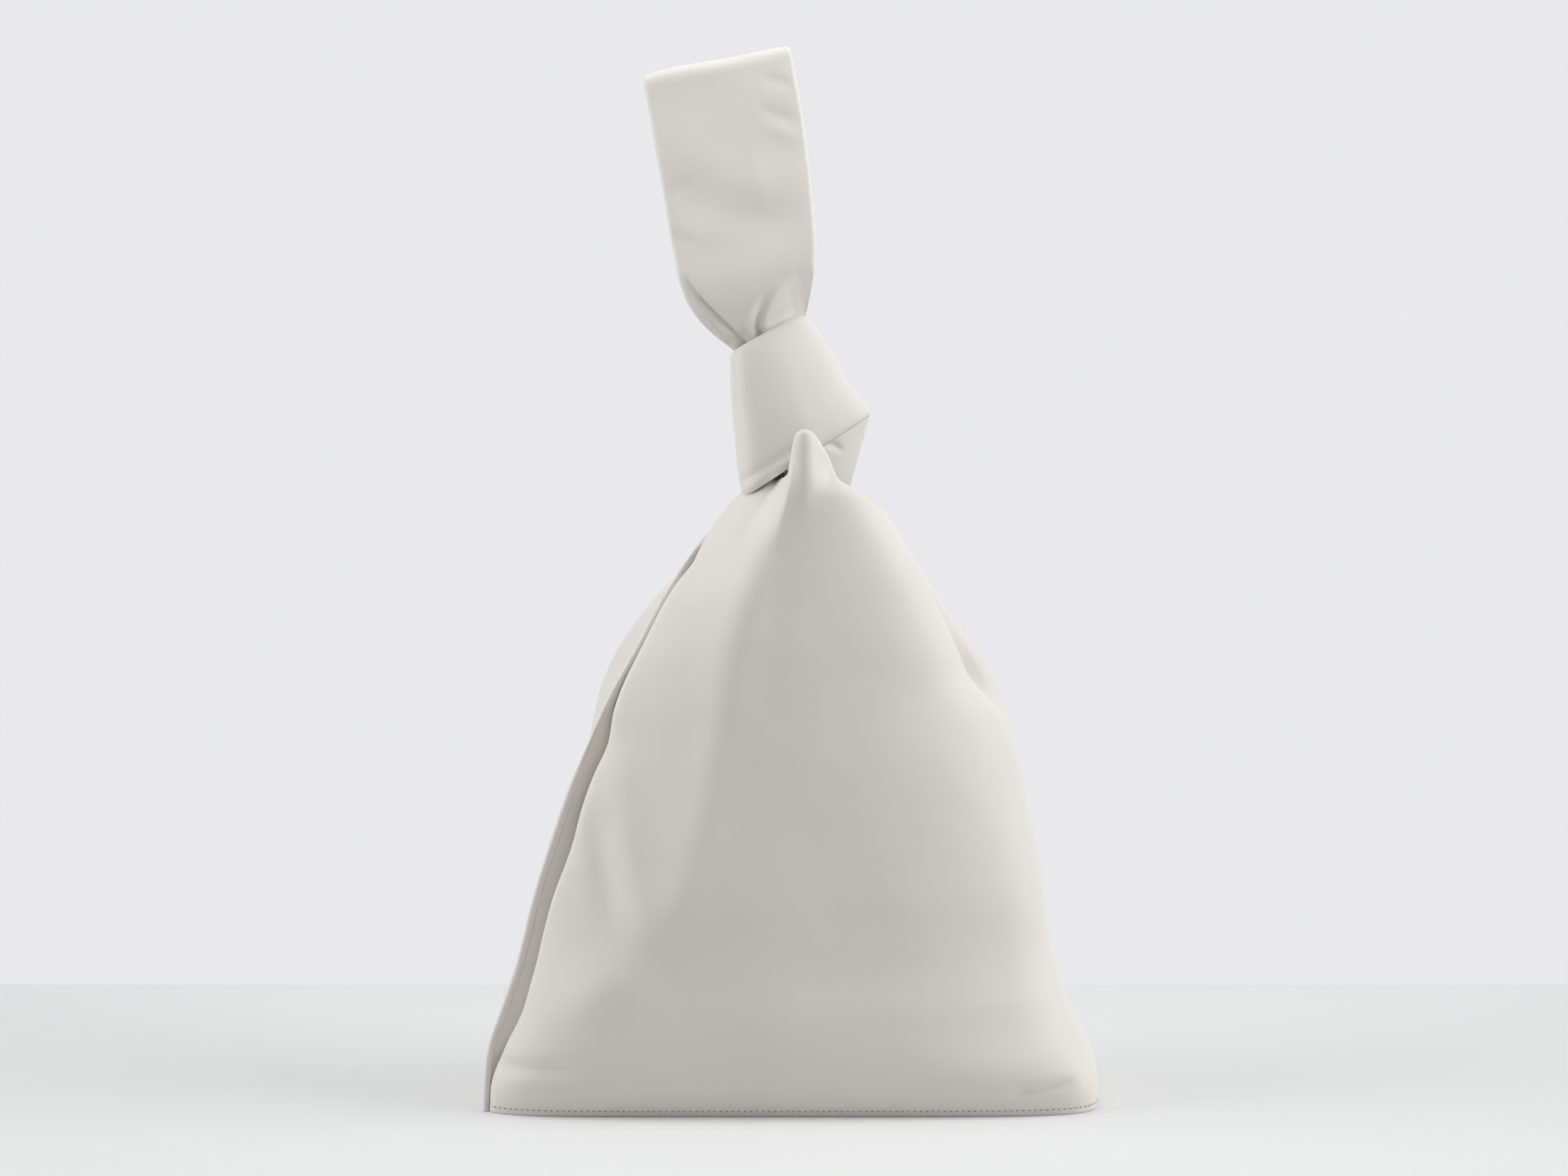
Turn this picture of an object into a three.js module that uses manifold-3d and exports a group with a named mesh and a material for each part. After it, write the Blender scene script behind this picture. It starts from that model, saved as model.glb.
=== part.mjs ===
// A knot bag: a soft leather pouch whose long handle is drawn through a short
// handle that wraps it as a knot. Millimetres, +Z up, +X to the wearer's right,
// -Y to the front. The origin is the middle of the base, on the table.
import * as THREE from "three";
import { mergeVertices } from "three/addons/utils/BufferGeometryUtils.js";
import Module from "manifold-3d";

const wasm = await Module();
wasm.setup();

// Driving dimensions of the pouch
const BASE_WIDTH = 240;
const BODY_HEIGHT = 245;
const BODY_DEPTH = 100;
const NECK_WIDTH = 48;
const NECK_FRONT = 26;
const NECK_REAR = 31;
const NECK_SHIFT = 9;
const LEFT_SHOULDER_HEIGHT = 226;
const RIGHT_SHOULDER_HEIGHT = 237;
const MOUTH_HEIGHT = 240;
const PEAK_HEIGHT = 28;
const REAR_PEAK_HEIGHT = 8;
const SEAM_FLANGE = 7;
const CORNER_FLANGE = 2;
const LEFT_OVERHANG = 3;
const RIGHT_OVERHANG = 8;
const OPEN_HEIGHT = 45;
const FACING_DEPTH = 40;

// Sheet thicknesses and the gap between neighbouring layers
const LEATHER = 2;
const LINING = 0.8;
const INTERLINING = 1.2;
const GAP = 0.4;

// Seams
const SEAM_HEIGHT = 3;
const BASE_LIP = 6;
const THREAD_RADIUS = 0.35;
const THREAD_CLEARANCE = 0.3;

// Handles: both are flat leather sleeves over a thin padding
const STRAP_WIDTH = 57;
const STRAP_THICKNESS = 4.4;
const SLEEVE_WALL = 1.3;
const PADDING_GAP = 0.3;

// The short handle wraps the long one as a flattened cone of leather
const KNOT_BASE = { x: 8.3, z: MOUTH_HEIGHT + 21, halfWidth: 30, halfDepth: 18, tilt: 34.5 };
const KNOT_TOP = { x: -7.5, z: KNOT_BASE.z + 48, halfWidth: 16.5, halfDepth: 13, tilt: 25 };
const KNOT_POINTEDNESS = 1.7;

// The soft neck: the knot leans on the round top of the long handle's root
const LEAN_PIVOT = { x: KNOT_BASE.x, z: MOUTH_HEIGHT + 9.5 };
const ROOT_RADIUS = 12;
const ROOT_DEPTH = 8.5;
const ROOT_OVERLAP = 4;
const JOINT_CLEARANCE = 0.35;

// The loop of the long handle folds over above the knot
const LOOP_LEAN = 11;
const LOOP_RISE = 16;
const LOOP_HEIGHT = 91;
const LOOP_HALF_GAP = 9;
const FOLD_RADIUS = 8;
const GATHER_WIDTH = 45;
const LOOP_FOLD = 75;
const ARCH_HEIGHT = 14;

// Counts of facets
const ACROSS = 22;
const UP_BODY = 9;
const UP_MOUTH = 5;
const CORNER_COLUMNS = 3;

// Shares of the way up the pouch, and how far its sides and belly have drawn in there
const SIDE_CURVE = [
  [0, 1], [0.1, 0.98], [0.25, 0.845], [0.41, 0.735], [0.61, 0.6], [0.82, 0.33], [1, 0.03], [1.1, 0],
];
const BELLY_CURVE = [[0, 0.84], [0.2, 1], [0.5, 0.8], [0.8, 0.38], [1, 0.03], [1.1, 0]];

const { lerp, smoothstep, degToRad } = THREE.MathUtils;

// Smooth height of a curve given by a few points, in order of x
function along(points, x) {
  const last = points.length - 1;
  const at = Math.min(Math.max(x, points[0][0]), points[last][0]);
  let i = 0;
  while (i < last - 1 && at > points[i + 1][0]) i += 1;
  const slope = (k) => {
    const a = points[Math.max(k - 1, 0)];
    const b = points[Math.min(k + 1, last)];
    return (b[1] - a[1]) / (b[0] - a[0]);
  };
  const [x0, y0] = points[i];
  const [x1, y1] = points[i + 1];
  const span = x1 - x0;
  const p = (at - x0) / span;
  const ease = p * p * (3 - 2 * p);
  const start = p * (1 - p) * (1 - p) * span * slope(i);
  const end = p * p * (p - 1) * span * slope(i + 1);
  return y0 + (y1 - y0) * ease + start + end;
}

const signedPower = (value, power) => Math.sign(value) * Math.abs(value) ** power;

// A smooth hump over the shares 0 to 1, flat at its start
const swell = (share) => (share > 0 && share < 1 ? share * Math.sin(Math.PI * share) * 1.7 : 0);

// A closed solid from vertices and triangles, turned so that its faces point out
function closedSolid(vertices, triangles) {
  const geometry = new THREE.BufferGeometry().setFromPoints(vertices);
  let volume = 0;
  for (const [a, b, c] of triangles) {
    volume += vertices[a].dot(new THREE.Vector3().crossVectors(vertices[b], vertices[c]));
  }
  const ordered = volume > 0 ? triangles : triangles.map(([a, b, c]) => [a, c, b]);
  geometry.setIndex(ordered.flat());
  return geometry;
}

// Triangles of the band between two rows of vertices of the same length
function band(lower, upper, closed) {
  const triangles = [];
  const count = closed ? lower.length : lower.length - 1;
  for (let j = 0; j < count; j += 1) {
    const k = (j + 1) % lower.length;
    triangles.push([lower[j], lower[k], upper[k]], [lower[j], upper[k], upper[j]]);
  }
  return triangles;
}

// A sheet with thickness, from the grids of points of its outer and inner faces
function sheetSolid(outer, inner) {
  const rings = outer.map((row, i) => [...row, ...[...inner[i]].reverse()]);
  const columns = outer[0].length;
  const vertices = rings.flat();
  const row = (i) => rings[i].map((_, j) => i * columns * 2 + j);
  const triangles = [];
  for (let i = 0; i + 1 < rings.length; i += 1) triangles.push(...band(row(i), row(i + 1), true));
  const cap = (i, flip) => {
    const front = row(i).slice(0, columns);
    const back = row(i).slice(columns).reverse();
    return flip ? band(back, front, false) : band(front, back, false);
  };
  triangles.push(...cap(0, true), ...cap(rings.length - 1, false));
  return closedSolid(vertices, triangles);
}

// A tube through rings of points. With cavity rings it is a sleeve that is open at both ends
function tubeSolid(rings, cavity) {
  const count = rings[0].length;
  const vertices = rings.flat();
  const row = (i, start) => rings[i].map((_, j) => start + i * count + j);
  const triangles = [];
  const last = rings.length - 1;
  for (let i = 0; i < last; i += 1) triangles.push(...band(row(i, 0), row(i + 1, 0), true));
  if (cavity) {
    const start = vertices.length;
    vertices.push(...cavity.flat());
    for (let i = 0; i < last; i += 1) triangles.push(...band(row(i + 1, start), row(i, start), true));
    triangles.push(...band(row(0, start), row(0, 0), true));
    triangles.push(...band(row(last, 0), row(last, start), true));
  } else {
    for (const i of [0, last]) {
      const middle = vertices.length;
      const centre = new THREE.Vector3();
      for (const point of rings[i]) centre.addScaledVector(point, 1 / count);
      vertices.push(centre);
      const edge = row(i, 0);
      edge.forEach((a, j) => {
        const b = edge[(j + 1) % count];
        triangles.push(i === 0 ? [middle, b, a] : [middle, a, b]);
      });
    }
  }
  return closedSolid(vertices, triangles);
}

// Boolean work on closed geometries
function toManifold(geometry) {
  const bare = new THREE.BufferGeometry();
  bare.setAttribute("position", geometry.getAttribute("position").clone());
  if (geometry.index) bare.setIndex(geometry.index.clone());
  const merged = mergeVertices(bare, 1e-4);
  const vertProperties = new Float32Array(merged.attributes.position.array);
  const triVerts = new Uint32Array(merged.index.array);
  return new wasm.Manifold(new wasm.Mesh({ numProp: 3, vertProperties, triVerts }));
}

function fromManifold(solid) {
  const mesh = solid.getMesh();
  const geometry = new THREE.BufferGeometry();
  geometry.setAttribute("position", new THREE.BufferAttribute(mesh.vertProperties, 3));
  geometry.setIndex(new THREE.BufferAttribute(mesh.triVerts, 1));
  return geometry;
}

const cut = (body, tool) => fromManifold(toManifold(body).subtract(toManifold(tool)));
const join = (a, b) => fromManifold(toManifold(a).add(toManifold(b)));

// Outline of the pouch at a height: where its two side seams and its faces lie
function section(z) {
  const share = z / BODY_HEIGHT;
  const halfWidth = NECK_WIDTH / 2 + ((BASE_WIDTH - NECK_WIDTH) / 2) * along(SIDE_CURVE, share);
  const middle = NECK_SHIFT * share ** 1.5;
  const belly = along(BELLY_CURVE, share);
  return {
    left: middle - halfWidth,
    right: middle + halfWidth,
    leftSeam: lerp(-0.32, -0.08, share) * BODY_DEPTH,
    rightSeam: lerp(0.1, 0.04, share) * BODY_DEPTH,
    front: -lerp(NECK_FRONT, BODY_DEPTH / 2, belly),
    rear: lerp(NECK_REAR, BODY_DEPTH / 2, belly),
    boxiness: lerp(4, 2.3, share),
  };
}

// The shares of the way across a face at which its seam flanges end
const FLANGE_SHARE = 2 / ACROSS;

// A point on the outer surface of a face, from its left seam (0) to its right seam (1)
function facePoint(face, share, z) {
  const outline = section(z);
  const sign = face === "front" ? -1 : 1;
  const layer = sign * (LEATHER + GAP / 2);
  const open = smoothstep(z, 0, OPEN_HEIGHT);
  const flange = lerp(CORNER_FLANGE, SEAM_FLANGE, open);
  const bulgeLeft = outline.left + flange;
  const bulgeRight = outline.right - flange;
  if (share < FLANGE_SHARE) {
    return new THREE.Vector3(lerp(outline.left, bulgeLeft, share / FLANGE_SHARE), outline.leftSeam + layer, z);
  }
  if (share > 1 - FLANGE_SHARE) {
    const out = (share - 1 + FLANGE_SHARE) / FLANGE_SHARE;
    return new THREE.Vector3(lerp(bulgeRight, outline.right, out), outline.rightSeam + layer, z);
  }
  const turn = (Math.PI * (share - FLANGE_SHARE)) / (1 - 2 * FLANGE_SHARE);
  const power = 2 / outline.boxiness;
  const across = 0.5 - 0.5 * signedPower(Math.cos(turn), power);
  const chord = lerp(outline.leftSeam, outline.rightSeam, across) + layer;
  const end = turn / Math.PI;
  const puff = RIGHT_OVERHANG * swell((end - 0.7) / 0.3) - LEFT_OVERHANG * swell(1 - end / 0.3);
  const x = lerp(bulgeLeft, bulgeRight, across) + puff * open;
  return new THREE.Vector3(x, lerp(chord, outline[face], Math.sin(turn) ** power), z);
}

// The same point moved inwards by a depth, square to the face
function layerPoint(face, share, z, depth) {
  const step = 0.004;
  const rise = 0.5;
  const left = facePoint(face, Math.max(share - step, 0), z);
  const right = facePoint(face, Math.min(share + step, 1), z);
  const low = Math.max(z - rise, 0);
  const below = facePoint(face, share, low);
  const above = facePoint(face, share, low + 2 * rise);
  const normal = right.sub(left).cross(above.sub(below)).normalize();
  const inwards = face === "front" ? -depth : depth;
  return facePoint(face, share, z).addScaledVector(normal, inwards);
}

// Height of the mouth's edge: the shoulders, the mouth and the peak pinched up in its middle
function mouthEdge(face, share) {
  const peak = face === "front" ? PEAK_HEIGHT : REAR_PEAK_HEIGHT;
  const shoulder = share < 0.5 ? LEFT_SHOULDER_HEIGHT : RIGHT_SHOULDER_HEIGHT;
  const inset = Math.min(share, 1 - share);
  const level = lerp(shoulder, MOUTH_HEIGHT, smoothstep(inset, FLANGE_SHARE, 0.36));
  return level + peak * Math.exp(-(((share - 0.48) / 0.075) ** 2));
}

// Rows of heights up a face: the base seam, then level up to the facing, then following the mouth's edge
const FACING_FOOT = MOUTH_HEIGHT - FACING_DEPTH;
const LINING_FOOT = BASE_LIP + GAP;
function rowHeight(face, share, row) {
  if (row === 0) return 0;
  if (row <= UP_BODY) return lerp(LINING_FOOT, FACING_FOOT, (row - 1) / (UP_BODY - 1));
  return lerp(FACING_FOOT, mouthEdge(face, share), (row - UP_BODY) / UP_MOUTH);
}

// A layer of one face: rows and columns say which part of the face it covers
function faceLayer(face, { depth, thickness, rows, columns, trim = 0 }) {
  const grid = (inset) => {
    const points = [];
    for (let row = rows[0]; row <= rows[1]; row += 1) {
      const line = [];
      for (let column = columns[0]; column <= columns[1]; column += 1) {
        const share = column / ACROSS;
        const edge = row === rows[0] && row > 0 ? trim : 0;
        const top = row === rows[1] ? -trim : 0;
        const z = rowHeight(face, share, row) + edge + top;
        line.push(layerPoint(face, share, z, inset));
      }
      points.push(line);
    }
    return points;
  };
  return sheetSolid(grid(depth), grid(depth + thickness));
}

const TOP_ROW = UP_BODY + UP_MOUTH;
const INNER_COLUMNS = [3, ACROSS - 3];

// Where the linings and the facings start, and how thick a facing is
const FACING_START = LEATHER + 1.6 * GAP;
const FACING = LEATHER / 2;

const panel = (face) =>
  faceLayer(face, { depth: 0, thickness: LEATHER, rows: [0, TOP_ROW], columns: [0, ACROSS] });

const lining = (face) =>
  faceLayer(face, {
    depth: FACING_START,
    thickness: LINING,
    rows: [1, UP_BODY],
    columns: INNER_COLUMNS,
    trim: GAP / 2,
  });

const facing = (face) =>
  faceLayer(face, {
    depth: FACING_START,
    thickness: FACING,
    rows: [UP_BODY, TOP_ROW],
    columns: INNER_COLUMNS,
    trim: GAP / 2,
  });

// Outline of the floor of the pouch, at a depth inside its faces
function floorOutline(depth) {
  const shares = [];
  for (let column = CORNER_COLUMNS; column <= ACROSS - CORNER_COLUMNS; column += 1) {
    shares.push(column / ACROSS);
  }
  const front = shares.map((share) => layerPoint("front", share, 0, depth));
  const rear = shares.map((share) => layerPoint("rear", share, 0, depth)).reverse();
  return new THREE.Shape([...front, ...rear].map((point) => new THREE.Vector2(point.x, point.y)));
}

function flatPlate(outline, floor, height, hole) {
  const shape = outline.clone();
  if (hole) shape.holes.push(new THREE.Path(hole.getPoints()));
  return new THREE.ExtrudeGeometry(shape, { depth: height, bevelEnabled: false }).translate(0, 0, floor);
}

// The base is a shallow tray: its turned-up lip is what the base seam sews through
function basePanel() {
  const outline = floorOutline(LEATHER + 3 * GAP);
  const inside = floorOutline(2 * LEATHER + 3 * GAP);
  return join(flatPlate(outline, 0, LEATHER), flatPlate(outline, 0, BASE_LIP, inside));
}

const BASE_STACK = floorOutline(2 * LEATHER + 4 * GAP);
const INTERLINING_FLOOR = LEATHER + GAP / 2;
const BASE_LINING_FLOOR = INTERLINING_FLOOR + INTERLINING + GAP / 2;

// A round thread laid along points, with a flat of six sides
function thread(points, side) {
  const rings = points.map((point, i) => {
    const before = points[Math.max(i - 1, 0)];
    const after = points[Math.min(i + 1, points.length - 1)];
    const run = after.clone().sub(before).normalize();
    const out = side.clone().addScaledVector(run, -side.dot(run)).normalize();
    const over = run.clone().cross(out);
    return [0, 1, 2, 3, 4, 5].map((corner) => {
      const turn = (corner * Math.PI) / 3;
      return point
        .clone()
        .addScaledVector(out, THREAD_RADIUS * Math.cos(turn))
        .addScaledVector(over, THREAD_RADIUS * Math.sin(turn));
    });
  });
  return tubeSolid(rings);
}
const THREAD_LIFT = THREAD_RADIUS + THREAD_CLEARANCE;

function baseThread(face) {
  const points = [];
  for (let column = CORNER_COLUMNS; column <= ACROSS - CORNER_COLUMNS; column += 1) {
    points.push(layerPoint(face, column / ACROSS, SEAM_HEIGHT, -THREAD_LIFT));
  }
  return thread(points, new THREE.Vector3(0, 0, 1));
}

function sideThread(end) {
  const share = end === "left" ? FLANGE_SHARE * 0.45 : 1 - FLANGE_SHARE * 0.45;
  const points = [];
  const top = mouthEdge("front", share) - SEAM_HEIGHT;
  for (let i = 0; i <= 16; i += 1) {
    const z = lerp(SEAM_HEIGHT, top, i / 16);
    points.push(facePoint("front", share, z).add(new THREE.Vector3(0, -THREAD_LIFT, 0)));
  }
  return thread(points, new THREE.Vector3(1, 0, 0));
}

// A point on the knot: share from its lower edge (0) to its upper edge (1), at a depth inside it
function knotPoint(turn, share, depth) {
  const tilt = degToRad(lerp(KNOT_BASE.tilt, KNOT_TOP.tilt, share));
  const power = 2 / KNOT_POINTEDNESS;
  const halfWidth = lerp(KNOT_BASE.halfWidth, KNOT_TOP.halfWidth, share) - depth;
  const halfDepth = lerp(KNOT_BASE.halfDepth, KNOT_TOP.halfDepth, share) - depth;
  const out = halfWidth * signedPower(Math.cos(turn), power);
  const y = halfDepth * signedPower(Math.sin(turn), power);
  const x = lerp(KNOT_BASE.x, KNOT_TOP.x, share) + out * Math.cos(tilt);
  const z = lerp(KNOT_BASE.z, KNOT_TOP.z, share) + out * Math.sin(tilt);
  return new THREE.Vector3(x, y, z);
}

// A flat section with rounded edges: across is over the strap's width, through over its thickness
const QUARTER = [[1, 0.35], [0.97, 0.8], [0.9, 1]];
const OVAL = [];
for (const [side, rise] of [[1, 1], [-1, 1], [-1, -1], [1, -1]]) {
  const corner = side * rise > 0 ? QUARTER : [...QUARTER].reverse();
  for (const [across, through] of corner) OVAL.push({ across: side * across, through: rise * through });
}

const KNOT_STEPS = 24;
const KNOT_OPENING = 0.02;

// The short handle's wrap: one turn of sleeve that starts and ends at the right, behind the knot
function knotRings(shrink) {
  const rings = [];
  const half = STRAP_THICKNESS / 2;
  const rim = (STRAP_WIDTH / 2 - shrink) / STRAP_WIDTH;
  for (let i = 0; i <= KNOT_STEPS; i += 1) {
    const turn = lerp(KNOT_OPENING, 2 * Math.PI - KNOT_OPENING, i / KNOT_STEPS) + Math.PI / 6;
    rings.push(
      OVAL.map(({ across, through }) =>
        knotPoint(turn, 0.5 + across * rim, half - through * (half - shrink)),
      ),
    );
  }
  return rings;
}

// The short handle's root: from under the knot down into the right shoulder
function shortHandleRoot() {
  const rows = 6;
  const columns = 10;
  const grid = (depth) => {
    const points = [];
    for (let i = 0; i <= rows; i += 1) {
      const line = [];
      for (let j = 0; j <= columns; j += 1) {
        const turn = degToRad(lerp(-62, 62, j / columns));
        const upper = knotPoint(turn, 0, depth);
        const lower = new THREE.Vector3(
          LEAN_PIVOT.x + (ROOT_RADIUS + 2 * STRAP_THICKNESS - depth) * Math.cos(turn),
          (NECK_FRONT - 2 * STRAP_THICKNESS - depth) * Math.sin(turn),
          MOUTH_HEIGHT + 2,
        );
        upper.z -= GAP;
        line.push(lower.lerp(upper, i / rows));
      }
      points.push(line);
    }
    return points;
  };
  return sheetSolid(grid(GAP), grid(STRAP_THICKNESS));
}

// Frame of the loop: its fold line lies above the middle of the knot's upper edge
const LEAN = degToRad(LOOP_LEAN);
const FOLD = new THREE.Vector3(
  KNOT_TOP.x - LOOP_RISE * Math.sin(LEAN),
  0,
  KNOT_TOP.z + LOOP_RISE * Math.cos(LEAN),
);

function ellipseRing(centre, halfWidth, halfDepth, tilt, count = 20) {
  const ring = [];
  for (let j = 0; j < count; j += 1) {
    const turn = (2 * Math.PI * j) / count;
    const out = halfWidth * Math.cos(turn);
    ring.push(
      new THREE.Vector3(
        centre.x + out * Math.cos(tilt),
        centre.y + halfDepth * Math.sin(turn),
        centre.z + out * Math.sin(tilt),
      ),
    );
  }
  return ring;
}

// A long round bar across the part, for the cuts at its joints
function roundBar(radius, centre, direction) {
  const bar = new THREE.CylinderGeometry(radius, radius, 4 * STRAP_WIDTH, 48);
  const turn = new THREE.Quaternion().setFromUnitVectors(new THREE.Vector3(0, 1, 0), direction);
  return bar.applyQuaternion(turn).translate(centre.x, centre.y, centre.z);
}

// The long handle's legs, gathered inside the knot and spreading again above it. They end in a round cup that
// the foot of the loop turns in, low enough to clear the loop when it is folded right over
function longHandleGather() {
  const inside = STRAP_THICKNESS + GAP;
  const cup = FOLD_RADIUS + JOINT_CLEARANCE;
  const rings = [];
  for (const share of [0, 0.25, 0.5, 0.75, 1]) {
    const ring = [];
    for (let j = 0; j < 20; j += 1) ring.push(knotPoint((2 * Math.PI * j) / 20, share, inside));
    rings.push(ring);
  }
  const top = 1 - (cup * Math.sin(degToRad(LOOP_FOLD))) / LOOP_RISE;
  for (const part of [0.35, 0.7, 1]) {
    const share = part * top;
    const spread = Math.sin((share * Math.PI) / 2);
    const centre = new THREE.Vector3(lerp(KNOT_TOP.x, FOLD.x, share), 0, lerp(KNOT_TOP.z, FOLD.z, share));
    const halfWidth = lerp(KNOT_TOP.halfWidth - inside, GATHER_WIDTH / 2, spread);
    const halfDepth = lerp(KNOT_TOP.halfDepth - inside, FOLD_RADIUS, spread);
    rings.push(ellipseRing(centre, halfWidth, halfDepth, degToRad(lerp(KNOT_TOP.tilt, LOOP_LEAN, part))));
  }
  const foldLine = new THREE.Vector3(Math.cos(LEAN), 0, Math.sin(LEAN));
  const lean = new THREE.Vector3(LEAN_PIVOT.x, 0, LEAN_PIVOT.z);
  const seat = roundBar(ROOT_RADIUS + JOINT_CLEARANCE, lean, new THREE.Vector3(0, 1, 0));
  const seated = cut(tubeSolid(rings), seat);
  return cut(seated, roundBar(cup, FOLD, foldLine));
}

// The long handle's root: a plug sewn into the left shoulder, rising to a round top under the knot
function longHandleRoot() {
  const inside = FACING_START + FACING + GAP;
  const shares = [3, 4, 5, 6, 7].map((column) => column / ACROSS);
  const plug = (z) => [
    ...shares.map((share) => layerPoint("front", share, z, inside)),
    ...[...shares].reverse().map((share) => layerPoint("rear", share, z, inside)),
  ];
  const crown = (z, halfWidth, halfDepth, x = LEAN_PIVOT.x) =>
    shares
      .map((_, j) => Math.PI + (Math.PI * (j + 0.5)) / shares.length)
      .concat(shares.map((_, j) => (Math.PI * (j + 0.5)) / shares.length))
      .map((turn) => new THREE.Vector3(x + halfWidth * Math.cos(turn), halfDepth * Math.sin(turn), z));
  const foot = FACING_FOOT + ROOT_OVERLAP;
  const head = MOUTH_HEIGHT - ROOT_OVERLAP;
  const rings = [0, 0.34, 0.67, 1].map((share) => plug(lerp(foot, head, share)));
  rings.push(crown(LEAN_PIVOT.z - ROOT_DEPTH, 1.5 * ROOT_RADIUS, ROOT_DEPTH, LEAN_PIVOT.x - ROOT_RADIUS / 2));
  rings.push(crown(LEAN_PIVOT.z - ROOT_DEPTH / 3, ROOT_RADIUS, ROOT_DEPTH));
  for (const turn of [0, 20, 40, 60, 78]) {
    const angle = degToRad(turn);
    const z = LEAN_PIVOT.z + ROOT_RADIUS * Math.sin(angle);
    rings.push(crown(z, ROOT_RADIUS * Math.cos(angle), ROOT_DEPTH));
  }
  return tubeSolid(rings);
}

// Stations round the loop, from the foot of its front leg over the arch to the foot of its rear leg.
// Each has its place in the loop's own frame, the direction it runs in, and its half sizes
function loopStations() {
  const half = STRAP_THICKNESS / 2;
  const reach = LOOP_HALF_GAP + half;
  const archFoot = LOOP_HEIGHT - half - ARCH_HEIGHT;
  const leg = [];
  for (const drop of [0.9, 0.7, 0.35]) {
    const outer = FOLD_RADIUS * Math.sqrt(1 - drop * drop);
    leg.push({ y: (outer + GAP) / 2, w: -drop * FOLD_RADIUS, half: (outer - GAP) / 2 });
  }
  for (let i = 0; i <= 5; i += 1) {
    const share = i / 5;
    const w = archFoot * share;
    const open = smoothstep(share, 0, 0.75);
    const outer = lerp(FOLD_RADIUS, reach + half, open);
    const inner = lerp(GAP, LOOP_HALF_GAP, open);
    leg.push({ y: (outer + inner) / 2, w, half: (outer - inner) / 2 });
  }
  const arch = [];
  for (let i = 0; i < 8; i += 1) {
    const turn = degToRad(lerp(15, 165, i / 7));
    arch.push({ y: reach * Math.cos(turn), w: archFoot + ARCH_HEIGHT * Math.sin(turn), half });
  }
  const mirrored = [...leg].reverse().map((station) => ({ ...station, y: -station.y }));
  const stations = [...leg, ...arch, ...mirrored].map((station) => ({ ...station, y: -station.y }));
  return stations.map((station, i) => {
    const before = stations[Math.max(i - 1, 0)];
    const after = stations[Math.min(i + 1, stations.length - 1)];
    const level = station.w <= 0;
    const run = new THREE.Vector2(after.y - before.y, after.w - before.w).normalize();
    const spread = smoothstep(station.w, 0, 0.45 * LOOP_HEIGHT);
    const halfWidth = lerp(GATHER_WIDTH, STRAP_WIDTH, spread) / 2;
    const out = level ? new THREE.Vector2(Math.sign(station.y), 0) : outwards(run);
    return { ...station, out, halfWidth };
  });
}

// The loop runs up its front leg, over and down, so its outer side is on the left of its run
function outwards(run) {
  return new THREE.Vector2(-run.y, run.x);
}

function loopRings(shrink, stations = loopStations()) {
  return stations.map(({ y, w, half, out, halfWidth }) =>
    OVAL.map(({ across, through }) => {
      const lift = through * (half - shrink);
      return new THREE.Vector3(across * (halfWidth - shrink), y + out.x * lift, w + out.y * lift);
    }),
  );
}

// Finishes
const finish = (color, roughness) => new THREE.MeshStandardMaterial({ color, roughness, metalness: 0 });
const NAPPA = finish(0xdedad3, 0.5);
const SUEDE = finish(0xcfc6b8, 0.95);
const THREAD = finish(0xe4dfd6, 0.7);
const FELT = finish(0xe9e6df, 0.95);

function piece(name, geometry, material) {
  const mesh = new THREE.Mesh(geometry, material);
  mesh.name = name;
  return mesh;
}

function pouch() {
  const group = new THREE.Group();
  for (const face of ["front", "rear"]) {
    group.add(
      piece(`${face}_panel`, panel(face), NAPPA),
      piece(`${face}_lining`, lining(face), SUEDE),
      piece(`${face}_mouth_facing`, facing(face), NAPPA),
      piece(`${face}_base_thread`, baseThread(face), THREAD),
    );
  }
  group.add(
    piece("base_panel", basePanel(), NAPPA),
    piece("base_interlining", flatPlate(BASE_STACK, INTERLINING_FLOOR, INTERLINING), FELT),
    piece("base_lining", flatPlate(BASE_STACK, BASE_LINING_FLOOR, LINING), SUEDE),
    piece("left_seam_thread", sideThread("left"), THREAD),
    piece("right_seam_thread", sideThread("right"), THREAD),
    piece("long_handle_root", longHandleRoot(), NAPPA),
  );
  return group;
}

function knot() {
  const group = new THREE.Group();
  group.add(
    piece("short_handle_sleeve", tubeSolid(knotRings(0), knotRings(SLEEVE_WALL)), NAPPA),
    piece("short_handle_padding", tubeSolid(knotRings(SLEEVE_WALL + PADDING_GAP)), FELT),
    piece("short_handle_root", shortHandleRoot(), NAPPA),
    piece("long_handle_gather", longHandleGather(), NAPPA),
  );
  return group;
}

function loop() {
  const group = new THREE.Group();
  group.position.copy(FOLD);
  group.rotation.y = -LEAN;
  const paddedStations = loopStations().slice(1, -1);
  group.add(
    piece("long_handle_sleeve", tubeSolid(loopRings(0), loopRings(SLEEVE_WALL)), NAPPA),
    piece("long_handle_padding", tubeSolid(loopRings(SLEEVE_WALL + PADDING_GAP, paddedStations)), FELT),
  );
  return group;
}

const bag = new THREE.Group();
bag.add(pouch(), knot(), loop());

export default bag;
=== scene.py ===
"""A soft leather knot bag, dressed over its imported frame.

The pouch stands on a flat base. Its long handle is drawn through its short handle, which wraps it as a
knot, and ends above the knot in a wrist loop. Lengths in the classes of the bag are millimetres; meshes are
metres. X runs to the right, Y to the back and Z up from the table.
"""
import logging
import math
from dataclasses import dataclass
from enum import Enum
from typing import Any, Callable, Sequence

import bmesh
import bpy
import numpy as np
from mathutils import Matrix, Vector, noise


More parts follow.
